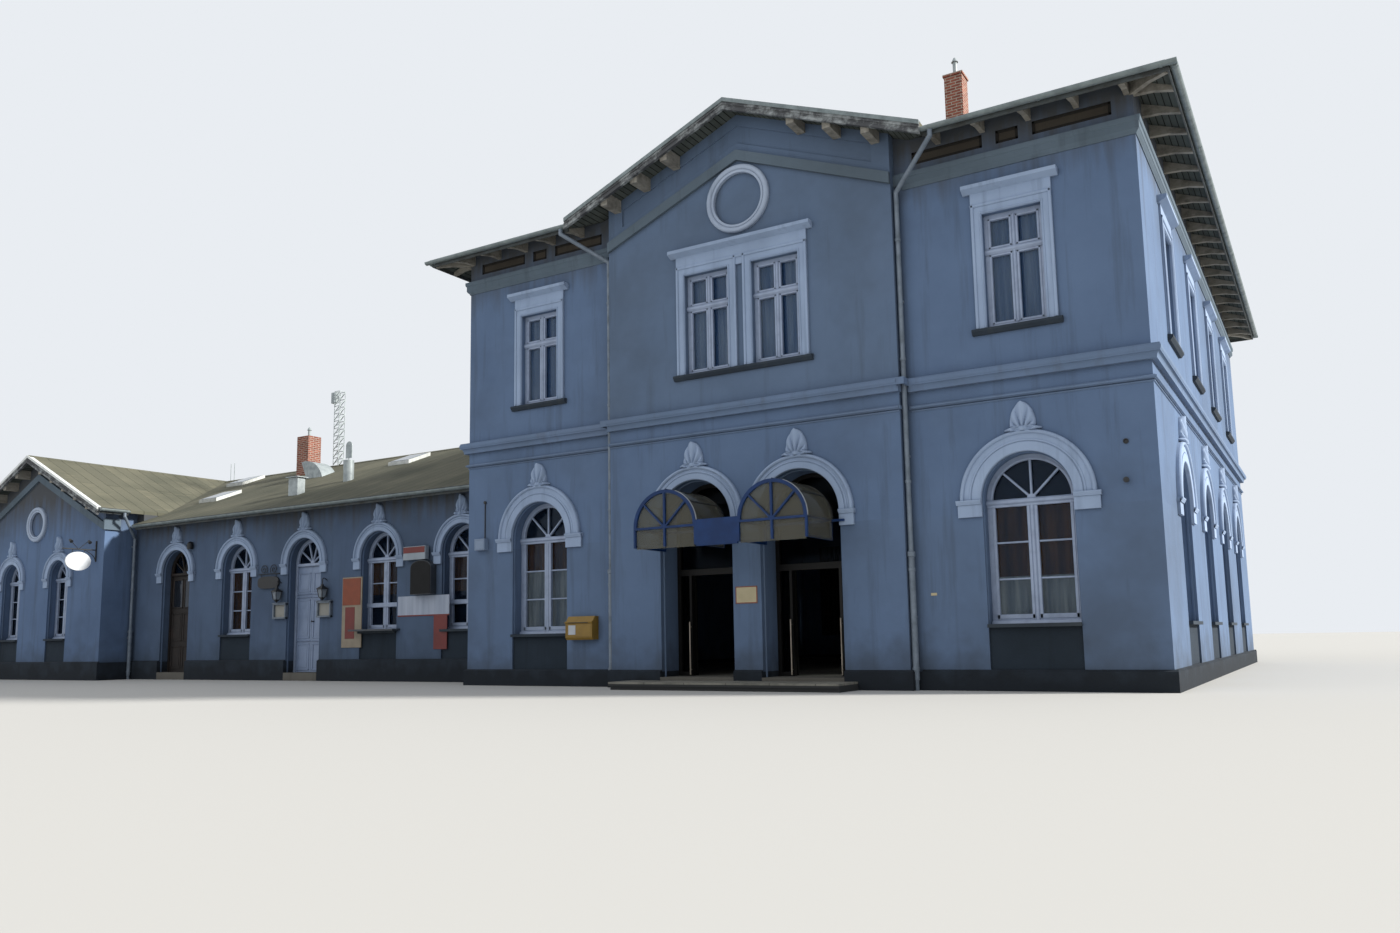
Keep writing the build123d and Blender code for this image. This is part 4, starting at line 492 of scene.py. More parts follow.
def sheet_metal(name, base, dull, metal=0.3, rough=0.45):
    """Rolled sheet metal, dulled outdoors: blotchy bloom, run marks and a soft uneven shine."""
    made, tree, shader, place = blank(name)
    bloom = add(tree, "TexNoise", Vector=place, Scale=9.0, Detail=5.0, Roughness=0.6)
    bloom = add(tree, "MapRange", Value=bloom, From_Min=0.38, From_Max=0.7)
    down = add(tree, "Mapping", Vector=place, Scale=(6.0, 6.0, 0.4))
    runs = add(tree, "TexNoise", Vector=down, Scale=3.0, Detail=4.0, Roughness=0.6)
    runs = add(tree, "MapRange", Value=runs, From_Min=0.5, From_Max=0.75)
    stain = add(tree, "Math", {"operation": "MAXIMUM"}, n0=bloom, n1=runs)
    skin = add(tree, "Mix", COLOURS, Factor=stain, A=colour(base), B=colour(dull))
    shine = add(tree, "MapRange", Value=bloom, To_Min=rough, To_Max=rough + 0.22)
    buckled = add(tree, "TexNoise", Vector=place, Scale=14.0, Detail=2.0)
    dents = add(tree, "Bump", Height=buckled, Distance=0.0012)
    fill(tree, shader, Base_Color=skin, Metallic=metal, Roughness=shine, Normal=dents)
    return made


def fired_brick():
    """Pressed and fired red brick in courses of 37.5 mm, or 75 mm at full size, with pale lime joints."""
    made, tree, shader, place = blank("fired_red_brick")
    spot = add(tree, "SeparateXYZ", Vector=place).outputs
    across = add(tree, "Math", {"operation": "ADD"}, n0=spot["X"], n1=spot["Y"])
    wall = add(tree, "CombineXYZ", X=across, Y=spot["Z"])
    bond = add(tree, "TexBrick", {"offset": 0.5}, Vector=wall, **BRICK_TONES, Mortar=GREY,
               Mortar_Size=0.005, Mortar_Smooth=0.1, Brick_Width=0.125, Row_Height=0.0375)
    brick = add(tree, "Mix", COLOURS, Factor=bond.outputs["Color"], A=colour("#7f4639"), B=colour("#995b4a"))
    burnt = add(tree, "TexNoise", Vector=place, Scale=12.0, Detail=4.0)
    burnt = add(tree, "MapRange", Value=burnt, From_Min=0.45, From_Max=0.75, To_Max=0.7)
    brick = add(tree, "Mix", COLOURS, Factor=burnt, A=brick, B=colour("#58342c"))
    face = add(tree, "Mix", COLOURS, Factor=bond.outputs["Fac"], A=brick, B=colour("#b0a498"))
    joint = add(tree, "MapRange", Value=bond.outputs["Fac"], To_Min=1.0, To_Max=0.0)
    raked = add(tree, "Bump", Height=joint, Distance=0.004)
    fill(tree, shader, Base_Color=face, Roughness=0.9, Normal=raked)
    return made


def window_glass(name, tint, clear, shine="#9fb0c8", seen_through=(0.82, 0.86, 0.86, 1)):
    """Old drawn glass, slightly wavy, with a sharp cool shine; where its tint is dark, it paints the shade of
    the rooms behind.
    """
    made, tree, shader, place = blank(name)
    drawn = add(tree, "TexNoise", Vector=place, Scale=5.0, Detail=1.0)
    wave = add(tree, "Bump", Height=drawn, Distance=0.0025)
    fill(tree, shader, Base_Color=colour(tint), Roughness=0.04, Specular_Tint=colour(shine), Normal=wave)
    through = add(tree, "BsdfTransparent", Color=seen_through)
    pane = add(tree, "MixShader", n0=clear, n1=shader, n2=through)
    fill(tree, tree.nodes["Material Output"], Surface=pane)
    return made


def coated_metal(name, base, edge, roughness=0.45, shine=0.5):
    """Powder-coated or enamelled metal: even and smooth, paler where the coat has gone chalky."""
    made, tree, shader, place = blank(name)
    chalk = add(tree, "TexNoise", Vector=place, Scale=7.0, Detail=4.0)
    chalk = add(tree, "MapRange", Value=chalk, From_Min=0.42, From_Max=0.75, To_Max=0.8)
    coat = add(tree, "Mix", COLOURS, Factor=chalk, A=colour(base), B=colour(edge))
    # Orange peel of 2 mm, drawn at 11 mm
    orange = add(tree, "TexNoise", Vector=place, Scale=90.0, Detail=2.0)
    peel = add(tree, "Bump", Height=orange, Distance=0.0005)
    fill(tree, shader, Base_Color=coat, Roughness=roughness, Specular_IOR_Level=shine, Normal=peel)
    return made


def landing_slabs():
    """Cast stone slabs of a metre by half a metre at full size, worn and stained, with dark joints and a
    painted shadow on the riser below the nosing.
    """
    made, tree, shader, place = blank("cast_stone_slabs")
    slabs = add(tree, "TexBrick", {"offset": 0.0}, Vector=place, **BRICK_TONES, Mortar=GREY,
                Mortar_Size=0.004, Mortar_Smooth=0.2, Brick_Width=0.5, Row_Height=0.25)
    stone = add(tree, "Mix", COLOURS, Factor=slabs.outputs["Color"], A=colour("#77766f"), B=colour("#86847b"))
    stain = add(tree, "TexNoise", Vector=place, Scale=4.0, Detail=6.0, Roughness=0.65)
    stain = add(tree, "MapRange", Value=stain, From_Min=0.42, From_Max=0.7)
    stone = add(tree, "Mix", COLOURS, Factor=stain, A=stone, B=colour("#5f5f59"))
    stone = add(tree, "Mix", COLOURS, Factor=slabs.outputs["Fac"], A=stone, B=colour("#34342f"))
    height = add(tree, "SeparateXYZ", Vector=place).outputs["Z"]
    # Painted shadow on the riser below the slabs' pale nosing edge
    riser_shadow = add(tree, "MapRange", Value=height, From_Min=0.066, From_Max=0.062)
    stone = add(tree, "Mix", COLOURS, Factor=riser_shadow, A=stone, B=colour("#2b2d2e"))
    pits = add(tree, "Bump", Height=add(tree, "TexNoise", Vector=place, Scale=80.0), Distance=0.0015)
    fill(tree, shader, Base_Color=stone, Roughness=0.85, Normal=pits)
    return made


def woven_curtain(name, base, shade, painted_glow=0.0):
    """Thin plain-woven curtain cloth: matt with a faint sheen, with painted light and shade in bands along
    the folds, and a painted glow as if lit from the room.
    """
    made, tree, shader, place = blank(name)
    # Painted light and shade in upright bands that stand for the folds
    hang = add(tree, "Mapping", Vector=place, Scale=(1.6, 1.6, 0.12))
    painted_fold_shade = add(tree, "TexNoise", Vector=hang, Scale=9.0, Detail=2.0)
    painted_fold_shade = add(tree, "MapRange", Value=painted_fold_shade, From_Min=0.35, From_Max=0.65)
    cloth = add(tree, "Mix", COLOURS, Factor=painted_fold_shade, A=colour(base), B=colour(shade))
    # Threads of a millimetre, drawn at 4 mm
    weave = add(tree, "TexWave", {"bands_direction": "Z"}, Vector=place, Scale=80.0, Distortion=0.6)
    threads = add(tree, "Bump", Height=weave.outputs["Fac"], Distance=0.0005)
    # A painted glow, as if the cloth were lit from the room behind
    fill(tree, shader, Base_Color=cloth, Roughness=0.9, Sheen_Weight=0.2, Emission_Color=cloth,
         Emission_Strength=painted_glow, Normal=threads)
    return made


FINISHES = {
    "render": masonry_paint("blue_grey_masonry_paint", "#617695", "#596d8b", "#454f5d", 0.55, coat=1.69,
                            lower="#5a6d89", eaves=(4.85, 5.55)),
    "plinth_render": masonry_paint("dark_plinth_paint", "#2b343e", "#252c35", "#1b2026", 0.30, 0.003),
    "floor_screed": masonry_paint("floor_screed", "#6b6963", "#5f5d58", "#4c4a46"),
    "roof_felt": bitumen_felt(),
    "eave_timber": weathered_timber("weathered_grey_oil_paint", "#4c5355", "#414749", "#2e2d2a"),
    "zinc": sheet_metal("dulled_sheet_zinc", "#a5aeb1", "#858e92"),
    "brick": fired_brick(),
    "white_render": masonry_paint("off_white_masonry_paint", "#9cafcb", "#8d9fbb", "#65748a", 0.0, 0.001),
    "sill_render": masonry_paint("dark_sill_paint", "#343e49", "#2b333d", "#43484a"),
    "window_paint": painted_joinery("white_gloss_on_joinery", "#95a4be", "#717f97"),
    # A dark tint: painted shade of the rooms behind the windows
    "window_glass": window_glass("drawn_window_glass_with_painted_room_shade", "#1b2638", 0.64),
    "dark_frame": coated_metal("dark_brown_coated_aluminium", "#0b0a09", "#13110f", 0.5, 0.25),
    "blue_steel": coated_metal("blue_coated_steel", "#0b2a56", "#12366a", 0.45, 0.25),
    "dark_wood": weathered_timber("dark_brown_stained_oak", "#170f0b", "#100a08", "#261b15"),
    "landing_stone": landing_slabs(),
    "yellow_paint": coated_metal("yellow_enamel", "#86691f", "#735818", 0.4),
}
OWN_FINISHES = {
    "canopy_glass": window_glass("clear_canopy_glass", "#706c5e", 0.64),
    # A near-black tint: painted shade of the dark hall behind the entrance doors
    "entrance_glass": window_glass("entrance_glass_in_painted_hall_shade", "#06070a", 0.55, "#3c4856"),
    # A blue base colour: painted reflection of the sky in the upper panes
    "upper_window_glass": window_glass("drawn_glass_with_painted_sky_reflection", "#2f4a70", 0.55),
    "centre_wall_upper": masonry_paint("blue_grey_gable_paint", "#61748f", "#596b84", "#4b5664"),
    # The frieze's paint is darker and browner than the walls': grime and painted shade under the eaves
    "frieze": masonry_paint("grimy_grey_moulding_paint_with_painted_eave_shade", "#61707e", "#576571", "#454e56"),
    "string_course": masonry_paint("blue_grey_band_paint", "#6b7f9d", "#62758f", "#5a6270"),
    "downpipes": sheet_metal("painted_zinc_pipes", "#75818f", "#5e6975", 0.15),
    "wall_box": coated_metal("white_enclosure", "#7a8ca6", "#6d7f97"),
    "round_window_rings": masonry_paint("pale_ring_paint", "#adbbd0", "#9dacc3", "#727e90"),
    "gutters": sheet_metal("grey_zinc_gutter", "#7d888a", "#656f72"),
    "skylights": sheet_metal("pale_skylight_frame", "#c3c6c4", "#a3a7a6"),
    "serving_shelf": coated_metal("grey_laminate_board", "#3c434b", "#31373e", 0.5),
    "bargeboards": weathered_timber("flaked_barge_paint", "#45474b", "#393b3e", "#a9b0b2", 0.75),
    "roof_timbers": weathered_timber("pale_rafter_paint", "#96938b", "#838078", "#57534d"),
}
# A darker copy of the wall paint on the wing's walls: painted shade of the main block and trees that fall on
# the wing's front
SHADED_WING_PAINT = masonry_paint("blue_grey_wing_paint_darkened_as_shade", "#53657f", "#4b5b74", "#3a4552", 0.65, eaves=(2.30, 2.75))
PAVILION_PAINT = masonry_paint("blue_grey_pavilion_paint", "#5f7596", "#576c8c", "#44505f", 0.65,
                               eaves=(2.55, 3.30))
DOOR_PAINT = painted_joinery("dull_white_door_paint", "#7f90ad", "#6c7c95")
WHITE_LEAVES = ("white_door_left_leaf", "white_door_right_leaf")
PAVILION_WALLS = ("pavilion_front_wall", "pavilion_rear_wall", "pavilion_side_walls")
for nodes, paint in ((("wing_front_wall", "wing_rear_wall"), SHADED_WING_PAINT), (PAVILION_WALLS, PAVILION_PAINT),
                     (WHITE_LEAVES, DOOR_PAINT)):
    OWN_FINISHES |= dict.fromkeys(nodes, paint)
for entry in frame["record"]["subparts"]:
    node_name = entry["node"]
    made = frame["nodes"][node_name]
    made.data.materials.clear()
    made.data.materials.append(OWN_FINISHES.get(node_name) or FINISHES[entry["material_slot"]])
WALL = FINISHES["render"]
WHITE_RENDER = FINISHES["white_render"]
JOINERY = FINISHES["window_paint"]
DARK_METAL = coated_metal("black_wrought_iron", "#16181b", "#22252a", 0.55)


# Mouldings of the arches
def archivolts():
    """Two stepped bands and an outer roll round every surround, each a profile carried round the arch."""
    parts = []
    low, high = SURROUND_FACE - 0.002, SURROUND_FACE + 0.010
    for front, u, arch, style in SURROUNDS:
        inner = arch["radius"]
        breadth = SURROUND_OUTER[style] - inner
        step = [(0.0, low), (breadth * 0.42, low), (breadth * 0.42, high), (0.006, high), (0.0, high - 0.006)]
        for profile in (step, half_round(breadth * 0.42 + 0.020, 0.024, low, 0.010),
                        half_round(breadth - 0.020, 0.040, low, 0.026)):
            parts.append(arc_bar(front, u, arch["spring"], inner, 180, 0, profile))
    return parts


piece("arch_mouldings", archivolts(), WHITE_RENDER, smooth=True)


IMPOST_REACH = {"main": 0.245, "entrance": ENTRANCE["x"] - ENTRANCE["radius"], "wing": 0.150,
                "pavilion": 0.150}


def impost_cornices():
    """A cyma under each impost's cap and a fillet on it, both profiles run across the impost."""
    cyma = [(-0.045, 0.03), (-0.045, 0.034), (-0.030, 0.050), (-0.018, 0.054), (-0.018, 0.03)]
    cap = [(-0.018, 0.04), (-0.018, 0.056), (-0.004, 0.060), (0.0, 0.050), (0.0, 0.04)]
    parts = []
    for front, u, arch, style in SURROUNDS:
        for side in (-1, 1):
            a, b = sorted((u + side * arch["radius"], u + side * (arch["radius"] + IMPOST_REACH[style])))
            parts += [level_bar(front, a, b, arch["spring"], profile) for profile in (cyma, cap)]
    return parts


piece("impost_cornices", impost_cornices(), WHITE_RENDER, smooth=True)


def palmette(front, u, foot, half, height, depth):
    """A pointed leaf on a scrolled foot: out = depth * fall to the edge * lobes by angle about the foot."""
    scroll_top, neck_top = 0.13, 0.18
    rows, columns = 28, 33
    t = np.linspace(0, 1, rows)[:, None]
    s = np.linspace(-1, 1, columns)[None, :]
    crown = np.clip((t - neck_top) / 0.82, 0, 1)
    leaf = 0.72 * (1 - crown ** 2.2) ** 0.6
    volute = 1.10 - 0.30 * np.abs(t / 0.065 - 1) ** 2
    waist = np.where(t < scroll_top, volute, np.where(t < neck_top, 0.70, leaf + 0.02))  # Half width at t
    x, z = s * waist * half, t * height + 0 * s
    angle = np.arctan2(x, z + 0.05 * height)
    lobes = 0.34 + 0.66 * np.abs(np.cos(angle * 6.5))
    scroll = 0.80 + 0.35 * np.cos(s * math.pi * 3) * (t < scroll_top)
    fall = np.sqrt(np.clip(1 - s ** 4, 0, 1))
    out = depth * (0.22 + 0.78 * fall * np.where(t < neck_top, scroll, lobes))
    near = to_world(front, np.stack([u + x, out, foot + z], -1))
    return sheet(near, to_world(front, np.stack([u + x, 0 * out - 0.004, foot + z], -1)))


LEAF_HALF = {"main": 0.165, "entrance": 0.165, "wing": 0.165 * 0.86, "pavilion": 0.165 * 0.80}
leaves = [palmette(front, u, arch["spring"] + SURROUND_OUTER[style] - 0.012, LEAF_HALF[style], 0.282, 0.068)
          for front, u, arch, style in SURROUNDS]
palmettes = piece("palmettes", leaves, WHITE_RENDER, smooth=True)
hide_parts("arch_ornaments")


def jamb_beads(openings, depth):
    """A bead just inside the outer edge of arched openings, carried up, round and down."""
    bead = [(0.002, -depth), (-0.010, -depth + 0.004), (-0.013, -depth + 0.014), (-0.010, -depth + 0.024),
            (0.002, -depth + 0.028)]
    return [arch_bar(front, u, arch["radius"], foot, arch["spring"], bead)
            for front, u, arch, foot in openings]


niches = [(front, u, arch, arch["sill"]) for front, u, arch in ARCHED_WINDOWS]
niches += [(WING_FRONT, u, WING_ARCH, DOORSTEP) for u in (WHITE_DOOR_X, DARK_DOOR_X)]
piece("jamb_beads", jamb_beads(niches, 0.055), WALL, smooth=True)
doorways = [(CENTRE_FRONT, side * ENTRANCE["x"], ENTRANCE, DOORSTEP) for side in (-1, 1)]
piece("entrance_jamb_beads", jamb_beads(doorways, 0.09), OWN_FINISHES["string_course"],
      smooth=True)


# Window joinery
KIOSK_BAYS = (WING_BAYS[0], WING_BAYS[1])


def fan_of(front, u, radius, spring, face, turns=(45, 90, 135)):
    """A half-round rail, and spokes that turn about a small hub."""
    spoke = sash_bar(0.022, face, -0.002, 0.006)
    parts = [arc_bar(front, u, spring, radius, 180, 0, sash_bar(0.026, face, 0.006))]
    for turn in turns:
        tip = (u + radius * math.cos(math.radians(turn)), spring + radius * math.sin(math.radians(turn)))
        parts.append(straight_bar(front, (u, spring), tip, spoke))
    back = face - BAR_DEPTH
    hub = [(-0.028, back), (0.012, back), (0.012, face + 0.002), (-0.028, face + 0.002)]
    parts.append(arc_bar(front, u, spring, 0.030, 180, 0, hub, 12))
    return parts


def arched_joinery():
    """Casement rails, glazing bars, a moulded transom and the fan's spokes of every arched window."""
    parts = []
    for front, u, arch in ARCHED_WINDOWS:
        face, radius, spring = -arch["reveal"], arch["radius"] - FRAME_BAR, arch["spring"]
        low, high = arch["sill"] + FRAME_BAR, spring - FRAME_BAR
        left, right, glazed = u - arch["radius"], u + arch["radius"], high - low - 0.05
        stile, foot = sash_bar(0.030, face, 0.006), sash_bar(0.044, face, 0.006)
        bar = sash_bar(0.018, face, -0.006, 0.005)
        for side in (-1, 1):
            near, far = u + side * 0.020, u + side * radius
            a, b = sorted((near, far))
            parts += [upright_bar(front, x, low, high, stile)
                      for x in (near + side * 0.015, far - side * 0.015)]
            parts += [level_bar(front, a, b, low + 0.022, foot), level_bar(front, a, b, high - 0.012, stile)]
            parts += [level_bar(front, a, b, low + 0.03 + glazed * share, bar) for share in (1 / 3, 2 / 3)]
        if front is WING_FRONT and u in KIOSK_BAYS:
            hatch_rail = rounded(0.066, face - 0.02, face + 0.018, 0.008)
            parts.append(level_bar(front, left, right, low + 0.02 + glazed / 3, hatch_rail))
        middle_post = rounded(0.040, face - 0.01, face + 0.014, 0.010)
        parts.append(upright_bar(front, u, arch["sill"] + 0.01, spring - 0.03, middle_post))
        transom = [(-0.040, face - 0.01), (0.034, face - 0.01), (0.034, face + 0.010), (0.020, face + 0.026),
                   (-0.006, face + 0.030), (-0.022, face + 0.012), (-0.040, face + 0.012)]
        parts.append(level_bar(front, left, right, spring - 0.030, transom))
        parts += fan_of(front, u, radius, spring, face)
        drip = [(-0.018, face - 0.01), (0.018, face - 0.01), (0.010, face + 0.022), (-0.018, face + 0.034)]
        parts.append(level_bar(front, left, right, arch["sill"] + 0.018, drip))
    return parts


piece("arched_window_bars", arched_joinery(), JOINERY, smooth=True)


def upper_joinery():
    """Casement rails, a middle post and a moulded transom on every upper window."""
    face = -UPPER["reveal"]
    sill, head, half, bar = UPPER["sill"], UPPER["head"], UPPER["half"], UPPER["bar"]
    transom_z = head - UPPER["transom"]
    stile, middle_post = sash_bar(0.024, face, 0.005), rounded(0.034, face - 0.01, face + 0.014, 0.010)
    transom = [(-0.030, face - 0.01), (0.026, face - 0.01), (0.026, face + 0.012), (0.010, face + 0.026),
               (-0.010, face + 0.026), (-0.030, face + 0.010)]
    parts = []
    for front, u in UPPER_WINDOWS:
        for side in (-1, 1):
            a, b = sorted((u + side * bar / 2, u + side * (half - bar)))
            for low, high in ((sill + bar, transom_z - bar), (transom_z + bar / 2, head - bar)):
                parts += [upright_bar(front, x, low, high, stile) for x in (a + 0.012, b - 0.012)]
                parts += [level_bar(front, a, b, z, stile) for z in (low + 0.012, high - 0.012)]
        parts.append(upright_bar(front, u, sill + bar, head - bar, middle_post))
        parts.append(level_bar(front, u - half, u + half, transom_z - 0.010, transom))
    return parts


piece("upper_window_bars", upper_joinery(), JOINERY, smooth=True)


def trim_beads():
    """An inner bead, an outer fillet and a line below the frieze block on the upper windows' trims."""
    half, sill, head = UPPER["half"], UPPER["sill"], UPPER["head"]
    low = UPPER_TRIM_FACE - 0.002
    bead, fillet = half_round(0, 0.018, low, 0.012), rounded(0.030, low, UPPER_TRIM_FACE + 0.012, 0.006)
    inner, outer, top = half + 0.014, half + UPPER_TRIM - 0.015, head + UPPER_TRIM
    parts = []
    for front, u in UPPER_WINDOWS:
        parts += [upright_bar(front, x, sill, head + 0.020, bead) for x in (u - inner, u + inner)]
        parts.append(level_bar(front, u - inner, u + inner, head + 0.014, bead))
        parts += [upright_bar(front, x, sill, top, fillet) for x in (u - outer, u + outer)]
        left, right = u - outer - 0.015, u + outer + 0.015
        if front is CENTRE_FRONT:
            left, right = (left, 0.0) if u < 0 else (0.0, right)
        parts.append(level_bar(front, left, right, top - 0.012, fillet))
    return parts


piece("upper_trim_beads", trim_beads(), WHITE_RENDER, smooth=True)


# Mouldings that run round the walls, as paths in plan with the outside on their right
PIPE_ROOM = 0.045
PIPE_X = CENTRE_HALF + 0.039
REAR_PIPE_X = 3.860
MAIN_LEFT_RUN = [(-HALF_WIDTH, 1.45), (-HALF_WIDTH, 0.0), (-PIPE_X - PIPE_ROOM, 0.0)]
CENTRE_RUN = [(-CENTRE_HALF, CENTRE_Y), (CENTRE_HALF, CENTRE_Y)]
MAIN_RIGHT_RUN = [(PIPE_X + PIPE_ROOM, 0.0), (HALF_WIDTH, 0.0), (HALF_WIDTH, MAIN_REAR_Y),
                  (REAR_PIPE_X + PIPE_ROOM, MAIN_REAR_Y)]
MAIN_REAR_RUN = [(REAR_PIPE_X - PIPE_ROOM, MAIN_REAR_Y), (-REAR_PIPE_X + PIPE_ROOM, MAIN_REAR_Y)]
MAIN_REAR_LEFT_RUN = [(-REAR_PIPE_X - PIPE_ROOM, MAIN_REAR_Y), (-HALF_WIDTH, MAIN_REAR_Y), (-HALF_WIDTH, 6.5)]
FRIEZE_RUNS = (MAIN_LEFT_RUN, MAIN_RIGHT_RUN, MAIN_REAR_RUN, MAIN_REAR_LEFT_RUN)
BAND_RUNS = (MAIN_LEFT_RUN, CENTRE_RUN) + FRIEZE_RUNS[1:]


def wall_mouldings():
    """The string course's top, hollow underside and lip, a roll on the band below, and the frieze's cyma."""
    top = [(0.0, 3.088), (0.080, 3.088), (0.082, 3.092), (0.0, 3.112)]
    cove = [(0.084 - 0.034 * math.cos(t), 3.022 - 0.058 * (1 - math.sin(t)))
            for t in np.linspace(0, math.pi / 2, 6)[::-1]]
    hollow = [(0.048, 2.962), (0.048, 3.022)] + cove
    lip = [(0.083, 3.030), (0.083, 3.080), (0.088, 3.078), (0.093, 3.066), (0.093, 3.048), (0.088, 3.034)]
    bulge = [(0.018 + 0.018 * math.sin(t), 2.803 - 0.013 * math.cos(t)) for t in np.linspace(0, math.pi, 8)]
    roll = [(0.018, 2.792)] + bulge + [(0.018, 2.816)]
    neck = [(0.0, 2.758), (0.012, 2.764), (0.012, 2.772), (0.0, 2.776)]
    ogee = [(0.0, 5.100), (0.010, 5.100), (0.014, 5.116), (0.032, 5.132), (0.038, 5.146), (0.0, 5.146)]
    fillet = [(0.038, 5.205), (0.050, 5.215), (0.054, 5.235), (0.054, 5.262), (0.038, 5.264)]
    band = [moulding(run, profile) for run in BAND_RUNS for profile in (top, hollow, lip, roll, neck)]
    return band, [moulding(run, profile) for run in FRIEZE_RUNS for profile in (ogee, fillet)]


band_mouldings, frieze_mouldings = wall_mouldings()
piece("wall_mouldings", band_mouldings, OWN_FINISHES["string_course"], smooth=True)
piece("frieze_mouldings", frieze_mouldings, OWN_FINISHES["frieze"], smooth=True)


def plinth_tops():
    """A sloped weathering on the plinth between the openings, run along each front."""
    slope = [(-0.002, -0.006), (PLINTH_OUT, -0.006), (PLINTH_OUT, 0.002), (-0.002, 0.020)]
    edge, centre_edge, pipe = HALF_WIDTH + PLINTH_OUT, CENTRE_HALF + PLINTH_OUT, PIPE_X + PIPE_ROOM
    pavilion_edge = (PAVILION_HIGH.x - PAVILION_LOW.x) / 2 + PLINTH_OUT
    door, half = ENTRANCE["x"], ENTRANCE["radius"]
    main = [(MAIN_FRONT, -edge, -pipe), (MAIN_FRONT, pipe, edge), (CENTRE_FRONT, -centre_edge, -door - half),
            (CENTRE_FRONT, -door + half, door - half), (CENTRE_FRONT, door + half, centre_edge),
            (MAIN_RIGHT, 0.0, MAIN_REAR_Y), (MAIN_REAR, -edge, edge)]
    jambs = [u + side * WING_ARCH["radius"] for u in (DARK_DOOR_X, WHITE_DOOR_X) for side in (-1, 1)]
    stops = [WING_END_X] + jambs + [-HALF_WIDTH]
    wing = [(WING_FRONT, a, b) for a, b in zip(stops[0::2], stops[1::2])]
    wing += [(PAVILION_FRONT, -pavilion_edge, pavilion_edge), (WING_REAR, HALF_WIDTH, -WING_END_X)]
    runs = [(*run, PLINTH_TOP["main"]) for run in main] + [(*run, PLINTH_TOP["wing"]) for run in wing]
    return [carried(slope, to_world(front, [(a, 0, z), (b, 0, z)]), [-front[2]] * 2, [UP] * 2)
            for front, a, b, z in runs]


piece("plinth_tops", plinth_tops(), FINISHES["plinth_render"])


def frieze_panels():
    """A bead round each sunk panel of the frieze, painted dark as the panel's shadow line, and the raised
    field within it.
    """
    foot, head, bead, end_room = 5.345, 5.480, 0.028, 0.05
    beads, fields = [], []
    bays = [(MAIN_FRONT, u) for u in FRONT_BAYS] + [(MAIN_RIGHT, u) for u in SIDE_BAYS]
    for front, u in bays:
        for middle, width in ((u - 0.610, 0.730), (u, 0.220), (u + 0.610, 0.730)):
            a, b = middle - width / 2, middle + width / 2
            if front is MAIN_FRONT or end_room < a and b < MAIN_REAR_Y - end_room:
                beads += loop(front, a, b, foot, head, bead, -0.022, -0.004)
                fields.append(board(front, a + 0.026, b - 0.026, foot + 0.026, head - 0.026, -0.022, -0.014))
    return beads, fields


panel_shadow_beads, panel_fields = frieze_panels()
# The beads are painted dark as shadow lines round the sunk panels; the fields are brown with grime and
# painted shade under the eaves
for name, parts, tones in (("bead", panel_shadow_beads, ("painted_shadow_panel_paint", "#2b2927", "#242220", "#1b1a19")),
                           ("field", panel_fields, ("brown_grimy_shaded_panel_paint", "#4a453e", "#403b35", "#2d2a27"))):
    piece(f"frieze_panel_{name}s", parts, masonry_paint(*tones))


def apron_fields():
    """The sunk field below the sill of every ground-floor window, a profile run up to the sill."""
    parts = []
    for front, u, arch in ARCHED_WINDOWS:
        foot = PLINTH_TOP["main" if arch is MAIN_ARCH else "wing"] + 0.004
        half = arch["radius"] - 0.001
        parts.append(board(front, u - half, u + half, foot, arch["sill"] - 0.034, -0.027, -0.020, 0.002))
    return parts


APRON_PAINT = masonry_paint("dark_apron_paint", "#2a3541", "#232d37", "#1a2026", grain=0.003)
piece("apron_fields", apron_fields(), APRON_PAINT)


def ring_mouldings():
    """A roll and an inner step round the two blind round windows."""
    low = SURROUND_FACE - 0.002
    roll = half_round(0.050, 0.058, low, 0.024)
    step = [(0.002, low - 0.04), (0.016, low), (0.016, low + 0.008), (-0.010, low + 0.004),
            (-0.010, low - 0.04)]
    return [arc_bar(front, 0, z, radius, 0, 360, profile, 64)
            for front, z, radius in ((CENTRE_FRONT, 5.408, 0.312), (PAVILION_FRONT, 2.820, 0.240))
            for profile in (roll, step)]


piece("round_window_mouldings", ring_mouldings(), OWN_FINISHES["round_window_rings"],
      smooth=True)

# Roof edges
MAIN_SLOPE, WING_SLOPE, PAVILION_SLOPE = 0.400, 0.403, 0.476
RIDGE_TOP = {"main": 7.332, "centre": 6.4625, "wing": 4.0687, "pavilion": 4.0752}
MAIN_EAVE = {"out": 0.392, "top": 5.516}
WING_EAVE = {"out": 0.270, "top": 2.647}
PAVILION_EAVE = {"out": 0.242, "top": 2.9076}
PAVILION_LEFT = facade(-17.175, 0, -90)
PAVILION_RIGHT = facade(WING_END_X, 0, 90)
GUTTER_RADIUS = 0.037
MAIN_END, CENTRE_END, OVERHANG = 4.46, 2.25, 0.33
WING_GUTTER = (4.15, 12.42)
EAVES = ((MAIN_FRONT, -MAIN_END, -CENTRE_END, MAIN_EAVE), (MAIN_FRONT, CENTRE_END, MAIN_END, MAIN_EAVE),
         (MAIN_REAR, -MAIN_END, MAIN_END, MAIN_EAVE),
         (MAIN_RIGHT, -OVERHANG, MAIN_REAR_Y + OVERHANG, MAIN_EAVE),
         (MAIN_LEFT, -MAIN_REAR_Y - OVERHANG, OVERHANG, MAIN_EAVE),
         (WING_FRONT, -WING_GUTTER[1], -WING_GUTTER[0], WING_EAVE), (WING_REAR, *WING_GUTTER, WING_EAVE),
         (PAVILION_LEFT, -8.01, 0.04, PAVILION_EAVE), (PAVILION_RIGHT, -0.04, 0.45, PAVILION_EAVE))


